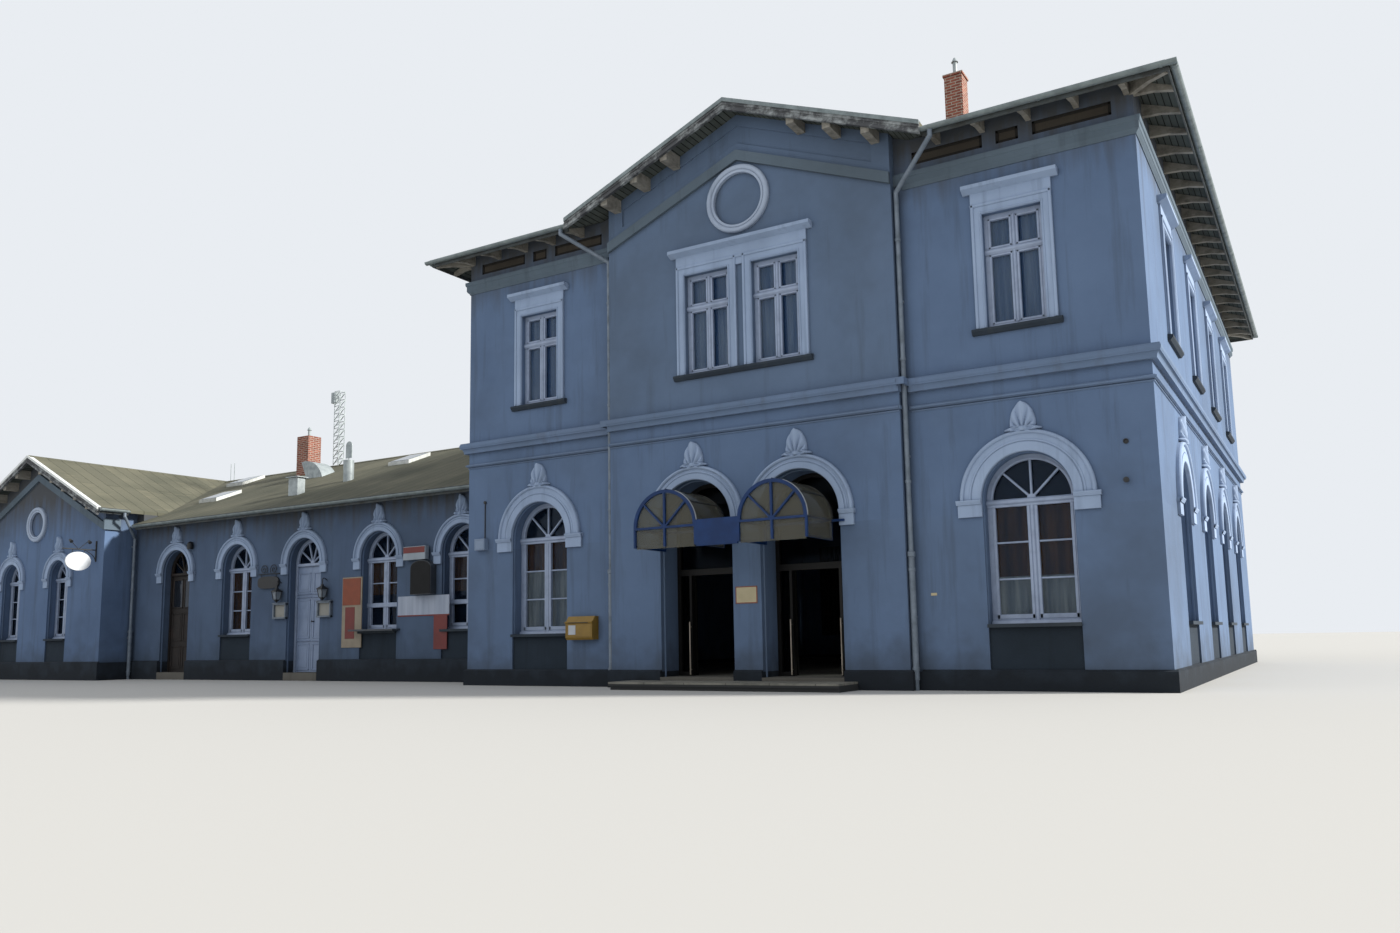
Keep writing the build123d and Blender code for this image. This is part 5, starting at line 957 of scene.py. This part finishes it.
def gutter_collars():
    """A half hoop round the gutter at every joint, about a metre apart, and a rolled front bead."""
    band = [(-0.001, -0.014), (0.004, -0.011), (0.004, 0.011), (-0.001, 0.014)]
    parts = []
    for front, u0, u1, eave in EAVES:
        count = max(2, round((u1 - u0) / 0.95))
        parts += [hoop(front, u, eave["out"], eave["top"], GUTTER_RADIUS, 180, 334, band)
                  for u in np.linspace(u0 + 0.04, u1 - 0.04, count + 1)]
        edge = eave["out"] + GUTTER_RADIUS - 0.006
        parts.append(rod(to_world(front, [(u0, edge, eave["top"]), (u1, edge, eave["top"])]), 0.006))
    return parts


piece("gutter_collars", gutter_collars(), OWN_FINISHES["gutters"], smooth=True)


def ridge_caps():
    """Folded felt strips along the ridges and hips: a shallow V carried along each line."""
    half, thick = 0.085, 0.010
    hip_run, corner_z, wing_y = 4.465, 5.546, 3.985
    front, rear, top, hip = -0.340, MAIN_REAR_Y + 0.340, RIDGE_TOP["main"], MAIN_SLOPE / math.sqrt(2)
    lines = [((side * hip_run, y, corner_z), (0, y + way * hip_run, top), hip)
             for y, way in ((front, 1), (rear, -1)) for side in (-1, 1)]
    lines += [((0, front + hip_run, top), (0, rear - hip_run, top), MAIN_SLOPE),
              ((0, -0.430, RIDGE_TOP["centre"]), (0, 1.93, RIDGE_TOP["centre"]), MAIN_SLOPE),
              ((-HALF_WIDTH, wing_y, RIDGE_TOP["wing"]), (PAVILION_X, wing_y, RIDGE_TOP["wing"]), WING_SLOPE),
              ((PAVILION_X, -0.07, RIDGE_TOP["pavilion"]), (PAVILION_X, 8.04, RIDGE_TOP["pavilion"]),
               PAVILION_SLOPE)]
    parts = []
    for start, end, fall in lines:
        start, end = np.array(start, float), np.array(end, float)
        run = (end - start)[:2] / np.linalg.norm((end - start)[:2])
        drop = -half * fall
        vee = [(-half, drop - 0.004), (0, -0.004), (half, drop - 0.004),
               (half, drop + thick), (0, thick + 0.002), (-half, drop + thick)]
        parts.append(carried(vee, [start, end], [[run[1], -run[0], 0]] * 2, [UP] * 2))
    return parts


piece("ridge_caps", ridge_caps(), FINISHES["roof_felt"])

# Gables: middle, face, the way into the roof, half width, apex and fall
CENTRE_GABLE = (0.0, -0.442, 1, 2.218, RIDGE_TOP["centre"], MAIN_SLOPE)
PAVILION_GABLES = tuple((PAVILION_X, y, way, 2.390, RIDGE_TOP["pavilion"], PAVILION_SLOPE)
                        for y, way in ((-0.075, 1), (8.045, -1)))


def verge_lines(gables, profiles):
    """Profiles (into the roof, up) carried up one rake and down the other of each gable."""
    parts = []
    for x, y, way, half, apex, fall in gables:
        line = [(x - half, y, apex - half * fall), (x, y, apex), (x + half, y, apex - half * fall)]
        parts += [carried(profile, line, [[0, way, 0]] * 3, [UP] * 3) for profile in profiles]
    return parts


flashing = [(-0.010, -0.036), (0.0, -0.036), (0.0, 0.0), (0.060, 0.0), (0.060, 0.010), (-0.010, 0.010)]
piece("verge_flashings", verge_lines([CENTRE_GABLE], [flashing]), OWN_FINISHES["gutters"])
piece("pavilion_verge_flashings", verge_lines(PAVILION_GABLES, [flashing]),
      sheet_metal("white_coated_verge", "#dfe3e3", "#c6cccc", 0.0, 0.5))
piece("barge_fillets", verge_lines((CENTRE_GABLE,) + PAVILION_GABLES,
                                   [[(-0.016, -0.132), (0.0, -0.132), (0.0, -0.096), (-0.010, -0.098)],
                                    [(-0.008, -0.070), (0.0, -0.070), (0.0, -0.052), (-0.008, -0.056)]]),
      OWN_FINISHES["bargeboards"])


def pipe_joints():
    """Wide standpipes with collars at the downpipes' feet, and collars above, each a turned profile."""
    stand = [(0.027, 0.10), (0.033, 0.10), (0.033, 0.19), (0.038, 0.192), (0.038, 0.222), (0.032, 0.226),
             (0.032, 1.16), (0.037, 1.162), (0.037, 1.19), (0.032, 1.194), (0.032, 1.30), (0.040, 1.304),
             (0.040, 1.350), (0.027, 1.356)]
    ring = [(0.024, -0.016), (0.031, -0.014), (0.031, 0.014), (0.024, 0.016)]
    off, wing_x, wing_y, wing_share = 0.075, -12.700, 0.675, 0.62
    places = [(side * x, y) for x, y in ((PIPE_X, -off), (REAR_PIPE_X, MAIN_REAR_Y + off))
              for side in (-1, 1)]
    parts = [turned(stand, (x, y, 0)) for x, y in places]
    parts += [turned(ring, (x, y, z)) for x, y in places for z in (2.05, 3.30, 4.55)]
    parts.append(turned([(r, z * wing_share) for r, z in stand], (wing_x, wing_y, 0)))
    return parts + [turned(ring, (wing_x, wing_y, 1.55))]


piece("pipe_joints", pipe_joints(), OWN_FINISHES["downpipes"], smooth=True)


# Canopies
def canopy_trim():
    """Dark wall ribs, wide front ribs with a pale gasket up their right side only as a painted highlight, and
    glazing beads along the barrel.
    """
    tip, bead_radius = CENTRE_Y - CANOPY_FRONT_Y, CANOPY_RADIUS + 0.008
    wall_rib = [(-0.020, 0.032), (0.008, 0.032), (0.008, 0.056), (-0.020, 0.056)]
    front_rib = [(-0.036, tip - 0.022), (0.001, tip - 0.022), (0.001, tip - 0.001), (-0.036, tip - 0.001)]
    highlight_gasket = [(0.001, tip - 0.020), (0.006, tip - 0.020), (0.006, tip - 0.008), (0.001, tip - 0.008)]
    dark, blue, highlight_gasket_parts = [], [], []
    for u in (-ENTRANCE["x"], ENTRANCE["x"]):
        for parts, first, profile in ((dark, 180, wall_rib), (blue, 180, front_rib), (highlight_gasket_parts, 70, highlight_gasket)):
            parts.append(arc_bar(CENTRE_FRONT, u, CANOPY_SPRING, CANOPY_RADIUS, first, 0, profile))
        for turn in (38, 90, 142):
            c, s = math.cos(math.radians(turn)), math.sin(math.radians(turn))
            x, z = u + bead_radius * c, CANOPY_SPRING + bead_radius * s
            dark.append(rod([(x, CANOPY_FRONT_Y + 0.03, z), (x, CENTRE_Y - 0.035, z)], 0.007, 6))
    return dark, blue, highlight_gasket_parts


dark_ribs, blue_ribs, highlight_gaskets = canopy_trim()
# The pale strip runs only from 70 degrees down the rib's right side: a pale gasket that stands as a painted
# highlight on the lit edge
HIGHLIGHT_RUBBER = sheet_metal("pale_rubber_gasket_as_painted_highlight", "#b9bfc2", "#9aa1a5", 0.0, 0.6)
piece("canopy_wall_ribs", dark_ribs, DARK_METAL, smooth=True)
piece("canopy_front_ribs", blue_ribs, FINISHES["blue_steel"], smooth=True)
piece("canopy_highlight_gaskets", highlight_gaskets, HIGHLIGHT_RUBBER)


# Entrances
def door_handles():
    """Upright bar handles on two stand-offs beside each doorway."""
    y, foot, head = CENTRE_Y + 0.355 - 0.028, 0.135, 0.725
    parts = []
    for x in [side * ENTRANCE["x"] + hand * 0.292 for side in (-1, 1) for hand in (-1, 1)]:
        parts.append(rod([(x, y, foot), (x, y, head)], 0.009, 10))
        parts += [rod([(x, y, z), (x, y + 0.03, z)], 0.006) for z in (foot + 0.055, head - 0.055)]
    return parts


BRUSHED_STEEL = sheet_metal("brushed_steel", "#a79d90", "#8f867a", 0.8, 0.35)
piece("entrance_handles", door_handles(), BRUSHED_STEEL, smooth=True)
SIGN_BORDER = coated_metal("red_sign_border", "#7e3a33", "#6c322c")
SIGN_CREAM = coated_metal("cream_sign_enamel", "#b3a888", "#a39878")
PIER_SIGN = (-0.138, 0.124, 0.899, 1.082)
piece("pier_sign", [board(CENTRE_FRONT, *PIER_SIGN, -0.001, 0.008)], SIGN_CREAM)
piece("pier_sign_border", loop(CENTRE_FRONT, *PIER_SIGN, 0.012, 0.006, 0.010), SIGN_BORDER)
piece("wall_plate", [board(MAIN_FRONT, 1.98, 2.04, 0.915, 0.940, -0.001, 0.006)], SIGN_CREAM)


# Wing doors
def door_panels(front, u0, u1, out, rows, proud):
    """Raised mouldings round the panels of a leaf and fielded panels inside them."""
    inset = 0.045
    parts = []
    for low, high in rows:
        parts += loop(front, u0, u1, low, high, 0.020, out, out + proud, 0.005)
        parts.append(board(front, u0 + inset, u1 - inset, low + inset, high - inset, out, out + proud * 0.7,
                           0.006))
    return parts


def leaf_box(name):
    """A leaf's box, and how far its outer face stands out from the wing's front."""
    low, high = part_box(name)
    return low, high, -(low.y - WING_FRONT_Y)


WHITE_ROWS = ((0.150, 0.560), (0.640, 1.240), (1.360, 1.660))
for leaf in WHITE_LEAVES:
    low, high, out = leaf_box(leaf)
    ledge = [(-0.008, out), (0.006, out), (0.010, out + 0.010), (0.004, out + 0.022), (-0.002, out + 0.022)]
    trim = door_panels(WING_FRONT, low.x + 0.035, high.x - 0.035, out, WHITE_ROWS, 0.010)
    trim += [level_bar(WING_FRONT, low.x + 0.012, high.x - 0.012, z, ledge) for z in (0.600, 1.275, 1.325)]
    piece(leaf.replace("_leaf", "_panels"), trim, DOOR_PAINT, body=leaf, smooth=True)
low, high, out = leaf_box(WHITE_LEAVES[1])
KNOB = [(0.004, 0.0), (0.012, 0.004), (0.012, 0.010), (0.006, 0.016), (0.006, 0.030), (0.014, 0.036),
        (0.014, 0.046), (0.004, 0.052)]
piece("white_door_knob", [turned(KNOB, (low.x + 0.050, low.y, 0.900), (0, -1, 0))], DARK_METAL,
      body=WHITE_LEAVES[1], smooth=True)

low, high, out = leaf_box("dark_door_leaf")
OAK = FINISHES["dark_wood"]
# Opaque dark panes: painted shade of the room behind the door
LEADED_GLASS = window_glass("leaded_door_glass_in_painted_shade", "#20242a", 0.0)
OLD_BRASS = sheet_metal("old_brass", "#8a7442", "#6b5a35", 0.9, 0.35)
DARK_ROWS = ((0.170, 0.560), (0.640, 1.120))
middle = (low.x + high.x) / 2
dark_trim, lights = [], []
for a, b in ((low.x + 0.045, middle - 0.020), (middle + 0.020, high.x - 0.045)):
    dark_trim += door_panels(WING_FRONT, a, b, out, DARK_ROWS, 0.010)
    dark_trim += loop(WING_FRONT, a, b, 1.200, 1.700, 0.022, out, out + 0.012, 0.005)
    lights.append(board(WING_FRONT, a + 0.02, b - 0.02, 1.220, 1.680, out + 0.0005, out + 0.004, 0.001))
grip = [(high.x - 0.06, low.y - reach, z)
        for reach, z in ((0.001, 0.86), (0.035, 0.88), (0.038, 0.95), (0.035, 1.02), (0.001, 1.04))]
piece("dark_door_panels", dark_trim, OAK, body="dark_door_leaf", smooth=True)
piece("dark_door_lights", lights, LEADED_GLASS, body="dark_door_leaf")
piece("dark_door_handle", [rod(grip, 0.007)], OLD_BRASS, body="dark_door_leaf", smooth=True)
FAN_RADIUS = WING_ARCH["radius"] - FRAME_BAR
DOOR_TRANSOM = [(-0.026, -0.152), (0.026, -0.152), (0.020, -0.134), (-0.010, -0.128), (-0.026, -0.140)]
for name, u, paint, slot in (("white_door_fan", WHITE_DOOR_X, JOINERY, "window_paint"),
                             ("dark_door_fan", DARK_DOOR_X, OAK, "dark_wood")):
    fan = fan_of(WING_FRONT, u, FAN_RADIUS, WING_ARCH["spring"], -WING_ARCH["reveal"], (36, 72, 108, 144))
    fan.append(level_bar(WING_FRONT, u - FAN_RADIUS, u + FAN_RADIUS, 1.780, DOOR_TRANSOM))
    piece(name, fan, paint, smooth=True)


# Curtains
def curtain(front, u, out, half, z0, z1, folds, depth):
    """A hanging sheet: out = depth * sine of the folds, deeper toward the hem, with a thickness."""
    rows, columns = 6, 61
    x = np.linspace(-1, 1, columns)[None, :] + np.zeros((rows, 1))
    t = np.linspace(0, 1, rows)[:, None] + np.zeros((1, columns))
    wave = depth * np.sin(x * folds * math.pi + 0.6 * np.sin(x * 5.0)) * (0.5 + 0.5 * (1 - t))
    near, far = (to_world(front, np.stack([u + x * half, out + wave + shift, z0 + (z1 - z0) * t], -1))
                 for shift in (0.0, -0.002))
    return sheet(near, far)


# Lace before the lower panes, longer in all bays but the front's right one, and pairs in the upper windows
lace = [curtain(front, u, -0.245, 0.40, 0.66, head, 13, 0.012)
        for front, u, head in [(MAIN_FRONT, FRONT_BAYS[1], 1.08), (MAIN_FRONT, FRONT_BAYS[0], 1.40)]
        + [(MAIN_RIGHT, u, 1.40) for u in SIDE_BAYS]]
lace += [curtain(front, u + side * 0.17, -0.150, 0.115, 3.51, 4.64, 5, 0.014)
         for front, u in UPPER_WINDOWS[:4] for side in (-1, 1)]
amber = [curtain(MAIN_FRONT, u, -0.270, 0.42, foot, 1.80, 9, 0.018)
         for u, foot in ((FRONT_BAYS[1], 1.06), (FRONT_BAYS[0], 1.38))]
amber += [curtain(WING_FRONT, u, -0.225, 0.38, 0.76, 1.78, 8, 0.016) for u in WING_WINDOWS[2:]]
amber += [curtain(WING_FRONT, u, -0.225, 0.37, 1.26, 1.78, 8, 0.014) for u in KIOSK_BAYS]
# Dark curtains in the rear windows: a dark sheet that keeps the hall seen through the entrance in painted
# shade
dark_hall_shade_curtains = [curtain(MAIN_REAR, u, -0.350, 0.47, 0.56, 2.30, 9, 0.018) for u in REAR_BAYS]
# The lace and amber cloths glow with painted light from the rooms behind
for name, sheets, cloth in (
        ("lace_curtains", lace, woven_curtain("white_lace_curtain", "#eef1f6", "#aab3c2", 0.10)),
        ("amber_curtains", amber, woven_curtain("amber_curtain", "#7d5420", "#463011", 0.14)),
        ("rear_shade_curtains", dark_hall_shade_curtains, woven_curtain("dark_curtain_as_painted_hall_shade", "#2a2420", "#1a1613"))):
    piece(name, sheets, cloth, smooth=True)

# Flat plates on the wing's front: left, right, foot, head, back, face and eased edge of each board
RED = coated_metal("red_enamel", "#6a1f1b", "#5a1a18", 0.5)
WING_PLATES = (
    ("notice_board", coated_metal("beige_backing_board", "#8e8474", "#7d7466", 0.6),
     [(-7.360, -6.935, 0.490, 1.530, -0.001, 0.012)]),
    ("orange_plate", coated_metal("orange_enamel", "#7f3714", "#6d2f12", 0.5),
     [(-7.345, -6.962, 1.115, 1.512, 0.011, 0.018)]),
    ("red_plates", RED,
     [(-7.285, -7.080, 0.620, 1.085, 0.011, 0.016), (-5.476, -5.218, 0.451, 0.920, -0.001, 0.008)]),
    ("white_banner", woven_curtain("white_banner_cloth", "#a9b3c4", "#96a1b4"),
     [(-6.190, -5.180, 0.935, 1.205, -0.001, 0.006, 0.002)]),
    ("banner_hem", RED, [(-6.190, -5.180, 0.918, 0.936, -0.001, 0.007, 0.002)]),
    ("light_box", coated_metal("milky_light_box", "#8f9aa5", "#7f8a95", 0.4),
     [(-6.005, -5.564, 1.715, 1.905, 0.030, 0.100, 0.006)]),
    ("light_box_band", RED, [(-5.995, -5.574, 1.812, 1.896, 0.099, 0.104, 0.002)]))
for name, finish, sizes in WING_PLATES:
    piece(name, [board(WING_FRONT, *size) for size in sizes], finish)
piece("light_box_arms", [rod(to_world(WING_FRONT, [(u, -0.002, z), (u, 0.035, z)]), 0.010)
                         for u in (-5.93, -5.64) for z in (1.75, 1.87)], DARK_METAL)


def arch_top(u0, u1, z0, z1, rise=0.10):
    """An upright outline with a half-ellipse on top: z = spring + rise * sine."""
    turn = np.linspace(0, math.pi, 17)
    middle, half = (u0 + u1) / 2, (u1 - u0) / 2
    crown = np.stack([middle + half * np.cos(turn), z1 - rise + rise * np.sin(turn)], -1)
    return np.concatenate([[(u0, z0), (u1, z0)], crown])


piece("arch_top_sign_case", [plate(WING_FRONT, arch_top(-5.840, -5.440, 1.218, 1.700), 0.0, 0.110)],
      coated_metal("grey_sign_case", "#3a4047", "#30353b", 0.5))
piece("arch_top_sign_face", [plate(WING_FRONT, arch_top(-5.832, -5.448, 1.226, 1.692), 0.108, 0.116)],
      coated_metal("black_sign_face", "#101113", "#18191b", 0.6, 0.2))


def lantern(u, z0, z1):
    """A wall lantern: square tapered profiles turned in four steps about its axis, under a swan-neck arm."""
    corner, out = math.sqrt(2), 0.085
    low, high = z0 + 0.05, z1 - 0.08
    foot = to_world(WING_FRONT, [(u, out, 0)])[0]
    roof = [(0.062 * corner, high), (0.062 * corner, high + 0.012), (0.020 * corner, z1 - 0.03),
            (0.012 * corner, z1)]
    base = [(0.004, z0), (0.014, z0 + 0.012), (0.044, z0 + 0.044), (0.048, low), (0.004, low + 0.002)]
    metal = [turned(roof, foot, steps=4), turned(base, foot, steps=4)]
    metal += [rod(to_world(WING_FRONT, [(u + i * 0.034, out + j * 0.034, low),
                                        (u + i * 0.052, out + j * 0.052, high)]), 0.005, 6)
              for i in (-1, 1) for j in (-1, 1)]
    panes = [turned([(0.031 * corner, low), (0.048 * corner, high)], foot, steps=4)]
    bend = np.linspace(0, math.pi / 2, 8)
    neck = np.stack([np.full(8, u), out * np.sin(bend), z1 + 0.06 + 0.03 * np.sin(2 * bend)], -1)
    neck = np.concatenate([[(u, -0.002, z1 + 0.058)], neck[1:], [(u, out, z1 - 0.005)]])
    metal.append(rod(to_world(WING_FRONT, neck), 0.007, 6))
    return metal, panes


SEEDED_GLASS = window_glass("seeded_lantern_glass", "#8d96a0", 0.35)
lantern_frames, lantern_panes = [], []
for u in (-7.720, -8.780):
    metal, panes = lantern(u, 1.200, 1.450)
    lantern_frames += metal
    lantern_panes += panes
piece("wall_lanterns", lantern_frames, DARK_METAL, smooth=True)
piece("wall_lantern_panes", lantern_panes, SEEDED_GLASS)
MENU_ROOF = [(-0.008, -0.001), (0.012, -0.001), (0.0, 0.058), (-0.008, 0.058)]
menu_frames, menu_cards = [], []
for u in (-7.735, -8.765):
    menu_frames += loop(WING_FRONT, u - 0.155, u + 0.155, 0.950, 1.190, 0.026, -0.001, 0.050, 0.006)
    menu_frames.append(level_bar(WING_FRONT, u - 0.165, u + 0.165, 1.197, MENU_ROOF))
    menu_cards.append(board(WING_FRONT, u - 0.130, u + 0.130, 0.975, 1.165, -0.001, 0.014))
piece("menu_boxes", menu_frames, sheet_metal("grey_show_case", "#737e8b", "#626c78", 0.4))
piece("menu_cards", menu_cards, coated_metal("bare_card", "#8f8f8a", "#80807b", 0.7))


def hanging_sign():
    """A tablet, |u/a|^3.3 + |z/b|^3.3 = 1, below a bar with two spirals whose radius grows evenly."""
    u, z, out = -9.070, 1.530, 0.022
    bar_z, squareness = z + 0.135, 0.6
    turn = np.linspace(0, 2 * math.pi, 40, endpoint=False)
    wide, tall = (np.sign(ray) * np.abs(ray) ** squareness for ray in (np.cos(turn), np.sin(turn)))
    parts = [plate(WING_FRONT, np.stack([u + 0.255 * wide, z + 0.095 * tall], -1), 0.012, 0.034)]
    spiral = np.linspace(0, 3.2 * math.pi, 40)
    radius = 0.012 + 0.0075 * spiral
    for side in (-1, 1):
        hanger, stay = u + side * 0.18, u + side * 0.24
        scroll = np.stack([u + side * (0.120 + radius * np.cos(spiral)), np.full(40, out),
                           z + 0.205 + radius * np.sin(spiral)], -1)
        for line, thick in ((scroll, 0.006), ([(hanger, out, z + 0.09), (hanger, out, z + 0.14)], 0.005),
                            ([(stay, -0.002, bar_z), (stay, 0.026, bar_z)], 0.007)):
            parts.append(rod(to_world(WING_FRONT, line), thick, 6))
    bar = [(u - 0.26, out, bar_z), (u + 0.26, out, bar_z)]
    return parts + [rod(to_world(WING_FRONT, bar), 0.007, 6)]


piece("hanging_tablet", hanging_sign(), DARK_METAL, smooth=True)


def oval_sign():
    """A bare white oval, an ellipse carried through its thickness, below an arm with two small spot lamps."""
    x, arm_z, middle_y, z = -13.000, 2.235, -0.130, 2.030
    turn = np.linspace(0, 2 * math.pi, 48, endpoint=False)
    rim = np.stack([0.215 * np.cos(turn), 0.160 * np.sin(turn)], -1)
    face = carried(rim, [(x - 0.014, middle_y, z), (x + 0.014, middle_y, z)], [(0, 1, 0)] * 2, [UP] * 2)
    post_y = PAVILION_FRONT_Y - 0.010
    iron = [rod([(x, PAVILION_FRONT_Y + 0.002, arm_z), (x, -0.400, arm_z)], 0.010),
            rod([(x, post_y, arm_z - 0.20), (x, post_y, arm_z + 0.16)], 0.012)]
    iron += [rod([(x, y, arm_z), (x, y, z + 0.148)], 0.005) for y in (middle_y - 0.10, middle_y + 0.10)]
    shade = [(0.006, 0.0), (0.022, 0.006), (0.026, 0.050), (0.030, 0.062), (0.004, 0.064)]
    for y, lean in ((-0.30, 0.05), (0.02, -0.04)):
        spot = (x + 0.03, y, arm_z + 0.15)
        iron.append(rod([(x, middle_y, arm_z), spot], 0.005))
        iron.append(turned(shade, spot, (0.75, lean, -0.5), 12))
    bend = np.linspace(0, math.pi, 14)
    scroll = np.stack([np.full(14, x), PAVILION_FRONT_Y - 0.02 - 0.09 * (1 - np.cos(bend)),
                       arm_z - 0.18 + 0.17 * np.sin(bend / 2)], -1)
    iron.append(rod(scroll, 0.006))
    return face, iron


oval, oval_iron = oval_sign()
piece("oval_sign", [oval], coated_metal("white_sign_enamel", "#cdd2d8", "#bcc2c9", 0.35))
piece("oval_sign_arm", oval_iron, DARK_METAL, smooth=True)


def wall_rose(u, z, profile, steps):
    """A small turned fitting whose axis stands straight out of the main front."""
    return turned(profile, to_world(MAIN_FRONT, [(u, 0.0, z)])[0], (0, -1, 0), steps)


LAMP_X, CONDUIT_X = -11.115, -3.840
small = [turned([(0.004, 0.0), (0.046, 0.006), (0.046, 0.100), (0.016, 0.130), (0.004, 0.132)],
                to_world(WING_FRONT, [(LAMP_X, 0.055, 2.175)])[0], steps=12),
         rod(to_world(WING_FRONT, [(LAMP_X, -0.002, 2.290), (LAMP_X, 0.055, 2.300)]), 0.008),
         rod(to_world(MAIN_FRONT, [(CONDUIT_X, 0.008, 1.835), (CONDUIT_X, 0.008, 2.290)]), 0.007),
         wall_rose(CONDUIT_X, 2.305, [(0.004, 0.0), (0.020, 0.002), (0.020, 0.018), (0.004, 0.020)], 12),
         wall_rose(3.859, 2.242, [(0.004, 0.0), (0.024, 0.002), (0.024, 0.012), (0.018, 0.012),
                                  (0.016, 0.004), (0.004, 0.004)], 16),
         wall_rose(3.845, 1.887, [(0.004, 0.0), (0.016, 0.002), (0.016, 0.030), (0.026, 0.034),
                                  (0.026, 0.044), (0.004, 0.046)], 16)]
piece("wall_fittings", small, DARK_METAL, smooth=True)
lid = loop(MAIN_FRONT, -3.958, -3.794, 1.700, 1.833, 0.010, 0.068, 0.074)
lid.append(board(MAIN_FRONT, -3.945, -3.807, 1.713, 1.820, 0.068, 0.072))
piece("wall_box_lid", lid, OWN_FINISHES["wall_box"])

# Post box
low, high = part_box("post_box")
face = -low.y
box_trim = loop(MAIN_FRONT, low.x + 0.012, high.x - 0.012, low.z + 0.035, low.z + 0.192, 0.008,
                face - 0.001, face + 0.004)
box_roof = [(-0.010, face - 0.02), (-0.010, face + 0.010), (0.0, face + 0.014), (0.012, face + 0.002),
            (0.012, face - 0.02)]
box_trim.append(level_bar(MAIN_FRONT, low.x - 0.004, high.x + 0.004, low.z + 0.204, box_roof))
card = board(MAIN_FRONT, low.x + 0.045, low.x + 0.150, low.z + 0.060, low.z + 0.170, face - 0.001,
             face + 0.005)
slit = board(MAIN_FRONT, low.x + 0.050, high.x - 0.050, low.z + 0.196, low.z + 0.204, face + 0.004,
             face + 0.0148, 0.001)
CARD_PLATE = coated_metal("plain_card_plate", "#b4bac2", "#a3a9b2", 0.5)
piece("post_box_trim", box_trim, FINISHES["yellow_paint"])
piece("post_box_card", [card], CARD_PLATE)
piece("post_box_slot", [slit], DARK_METAL)


# Skylights
def skylight_panes():
    """A dark pane on each skylight: a flat profile carried up the slope that it lies on."""
    lift = np.array([0.0, -WING_SLOPE, 1.0]) / math.hypot(1.0, WING_SLOPE)
    pane = [(-0.22, 0.056), (0.22, 0.056), (0.22, 0.064), (-0.22, 0.064)]
    roof_z, parts = 2.765, []
    for x, y0 in ((-8.973, 3.052), (-12.579, 1.792), (-13.864, 3.232)):
        ends = [(x + 0.26, y, roof_z + (y - WING_FRONT_Y) * WING_SLOPE) for y in (y0 + 0.04, y0 + 0.48)]
        parts.append(carried(pane, ends, [(1, 0, 0)] * 2, [lift] * 2))
    return parts


piece("skylight_panes", skylight_panes(), window_glass("skylight_glass", "#5d6873", 0.0))

# Floor, light and camera
FLOOR_CORNERS = [(-90, -60, 0), (90, -60, 0), (90, 120, 0), (-90, 120, 0)]
floor = bpy.data.objects.new("studio_floor", bpy.data.meshes.new("studio_floor"))
floor.data.from_pydata(FLOOR_CORNERS, [], [[0, 1, 2, 3]])
bpy.context.scene.collection.objects.link(floor)
floor_paint, _, floor_shader, _ = blank("studio_floor")
floor_shader.inputs["Base Color"].default_value = colour("#c2c2c0")
floor_shader.inputs["Roughness"].default_value = 0.95
floor_shader.inputs["Specular IOR Level"].default_value = 0.1
floor.data.materials.append(floor_paint)

world = bpy.data.worlds.new("studio_world")
bpy.context.scene.world = world
world.use_nodes = True
sky = world.node_tree
seen = add(sky, "LightPath").outputs
shown = add(sky, "Math", {"operation": "MAXIMUM"}, n0=seen["Is Camera Ray"], n1=seen["Is Glossy Ray"])
shown = add(sky, "Math", {"operation": "MAXIMUM"}, n0=shown, n1=seen["Is Transmission Ray"])
ambient = add(sky, "Background", Color=(0.95, 0.97, 1.0, 1), Strength=0.62)
backdrop = add(sky, "Background", Color=colour("#e9edf2"), Strength=1.0)
fill(sky, sky.nodes["World Output"], Surface=add(sky, "MixShader", n0=shown, n1=ambient, n2=backdrop))


def lamp(name, strength, angle, towards, tone=(1.0, 1.0, 1.0)):
    """A sun lamp that shines from a direction."""
    data = bpy.data.lights.new(name, "SUN")
    data.energy, data.angle, data.color = strength, math.radians(angle), tone
    made = bpy.data.objects.new(name, data)
    bpy.context.scene.collection.objects.link(made)
    made.rotation_mode = "QUATERNION"
    made.rotation_quaternion = Vector(towards).to_track_quat("Z", "Y")
    return made


lamp("key_from_right_and_behind", 6.0, 7, (0.84, 0.30, 0.45), (1.0, 0.96, 0.89))
lamp("soft_front_fill", 0.35, 60, (-0.35, -0.80, 0.50))

CAMERA_PLACE = (5.4003, -10.0766, 0.5393)
CAMERA_TURN, CAMERA_LIFT, CAMERA_LEAN = math.radians(-31.2405), math.radians(7.2192), math.radians(-0.9811)
FOCAL_SHARE = 1056.872 / 1400  # Focal length as a share of the picture's width
SENSOR = 36.0
CAMERA_SHIFT = (0.0038, 0.0271)
ahead = Vector((math.sin(CAMERA_TURN) * math.cos(CAMERA_LIFT), math.cos(CAMERA_TURN) * math.cos(CAMERA_LIFT),
                math.sin(CAMERA_LIFT)))
level = Vector((math.cos(CAMERA_TURN), -math.sin(CAMERA_TURN), 0))
upward = level.cross(ahead)
right_axis = level * math.cos(CAMERA_LEAN) + upward * math.sin(CAMERA_LEAN)
up_axis = upward * math.cos(CAMERA_LEAN) - level * math.sin(CAMERA_LEAN)
camera = bpy.data.objects.new("camera", bpy.data.cameras.new("camera"))
bpy.context.scene.collection.objects.link(camera)
camera_axes = Matrix((right_axis, up_axis, -ahead)).transposed().to_4x4()
camera.matrix_world = Matrix.Translation(CAMERA_PLACE) @ camera_axes
camera.data.sensor_width = SENSOR
camera.data.lens = SENSOR * FOCAL_SHARE
camera.data.shift_x, camera.data.shift_y = CAMERA_SHIFT
camera.data.clip_end = 400
bpy.context.scene.camera = camera
bpy.context.scene.view_settings.view_transform = "Standard"
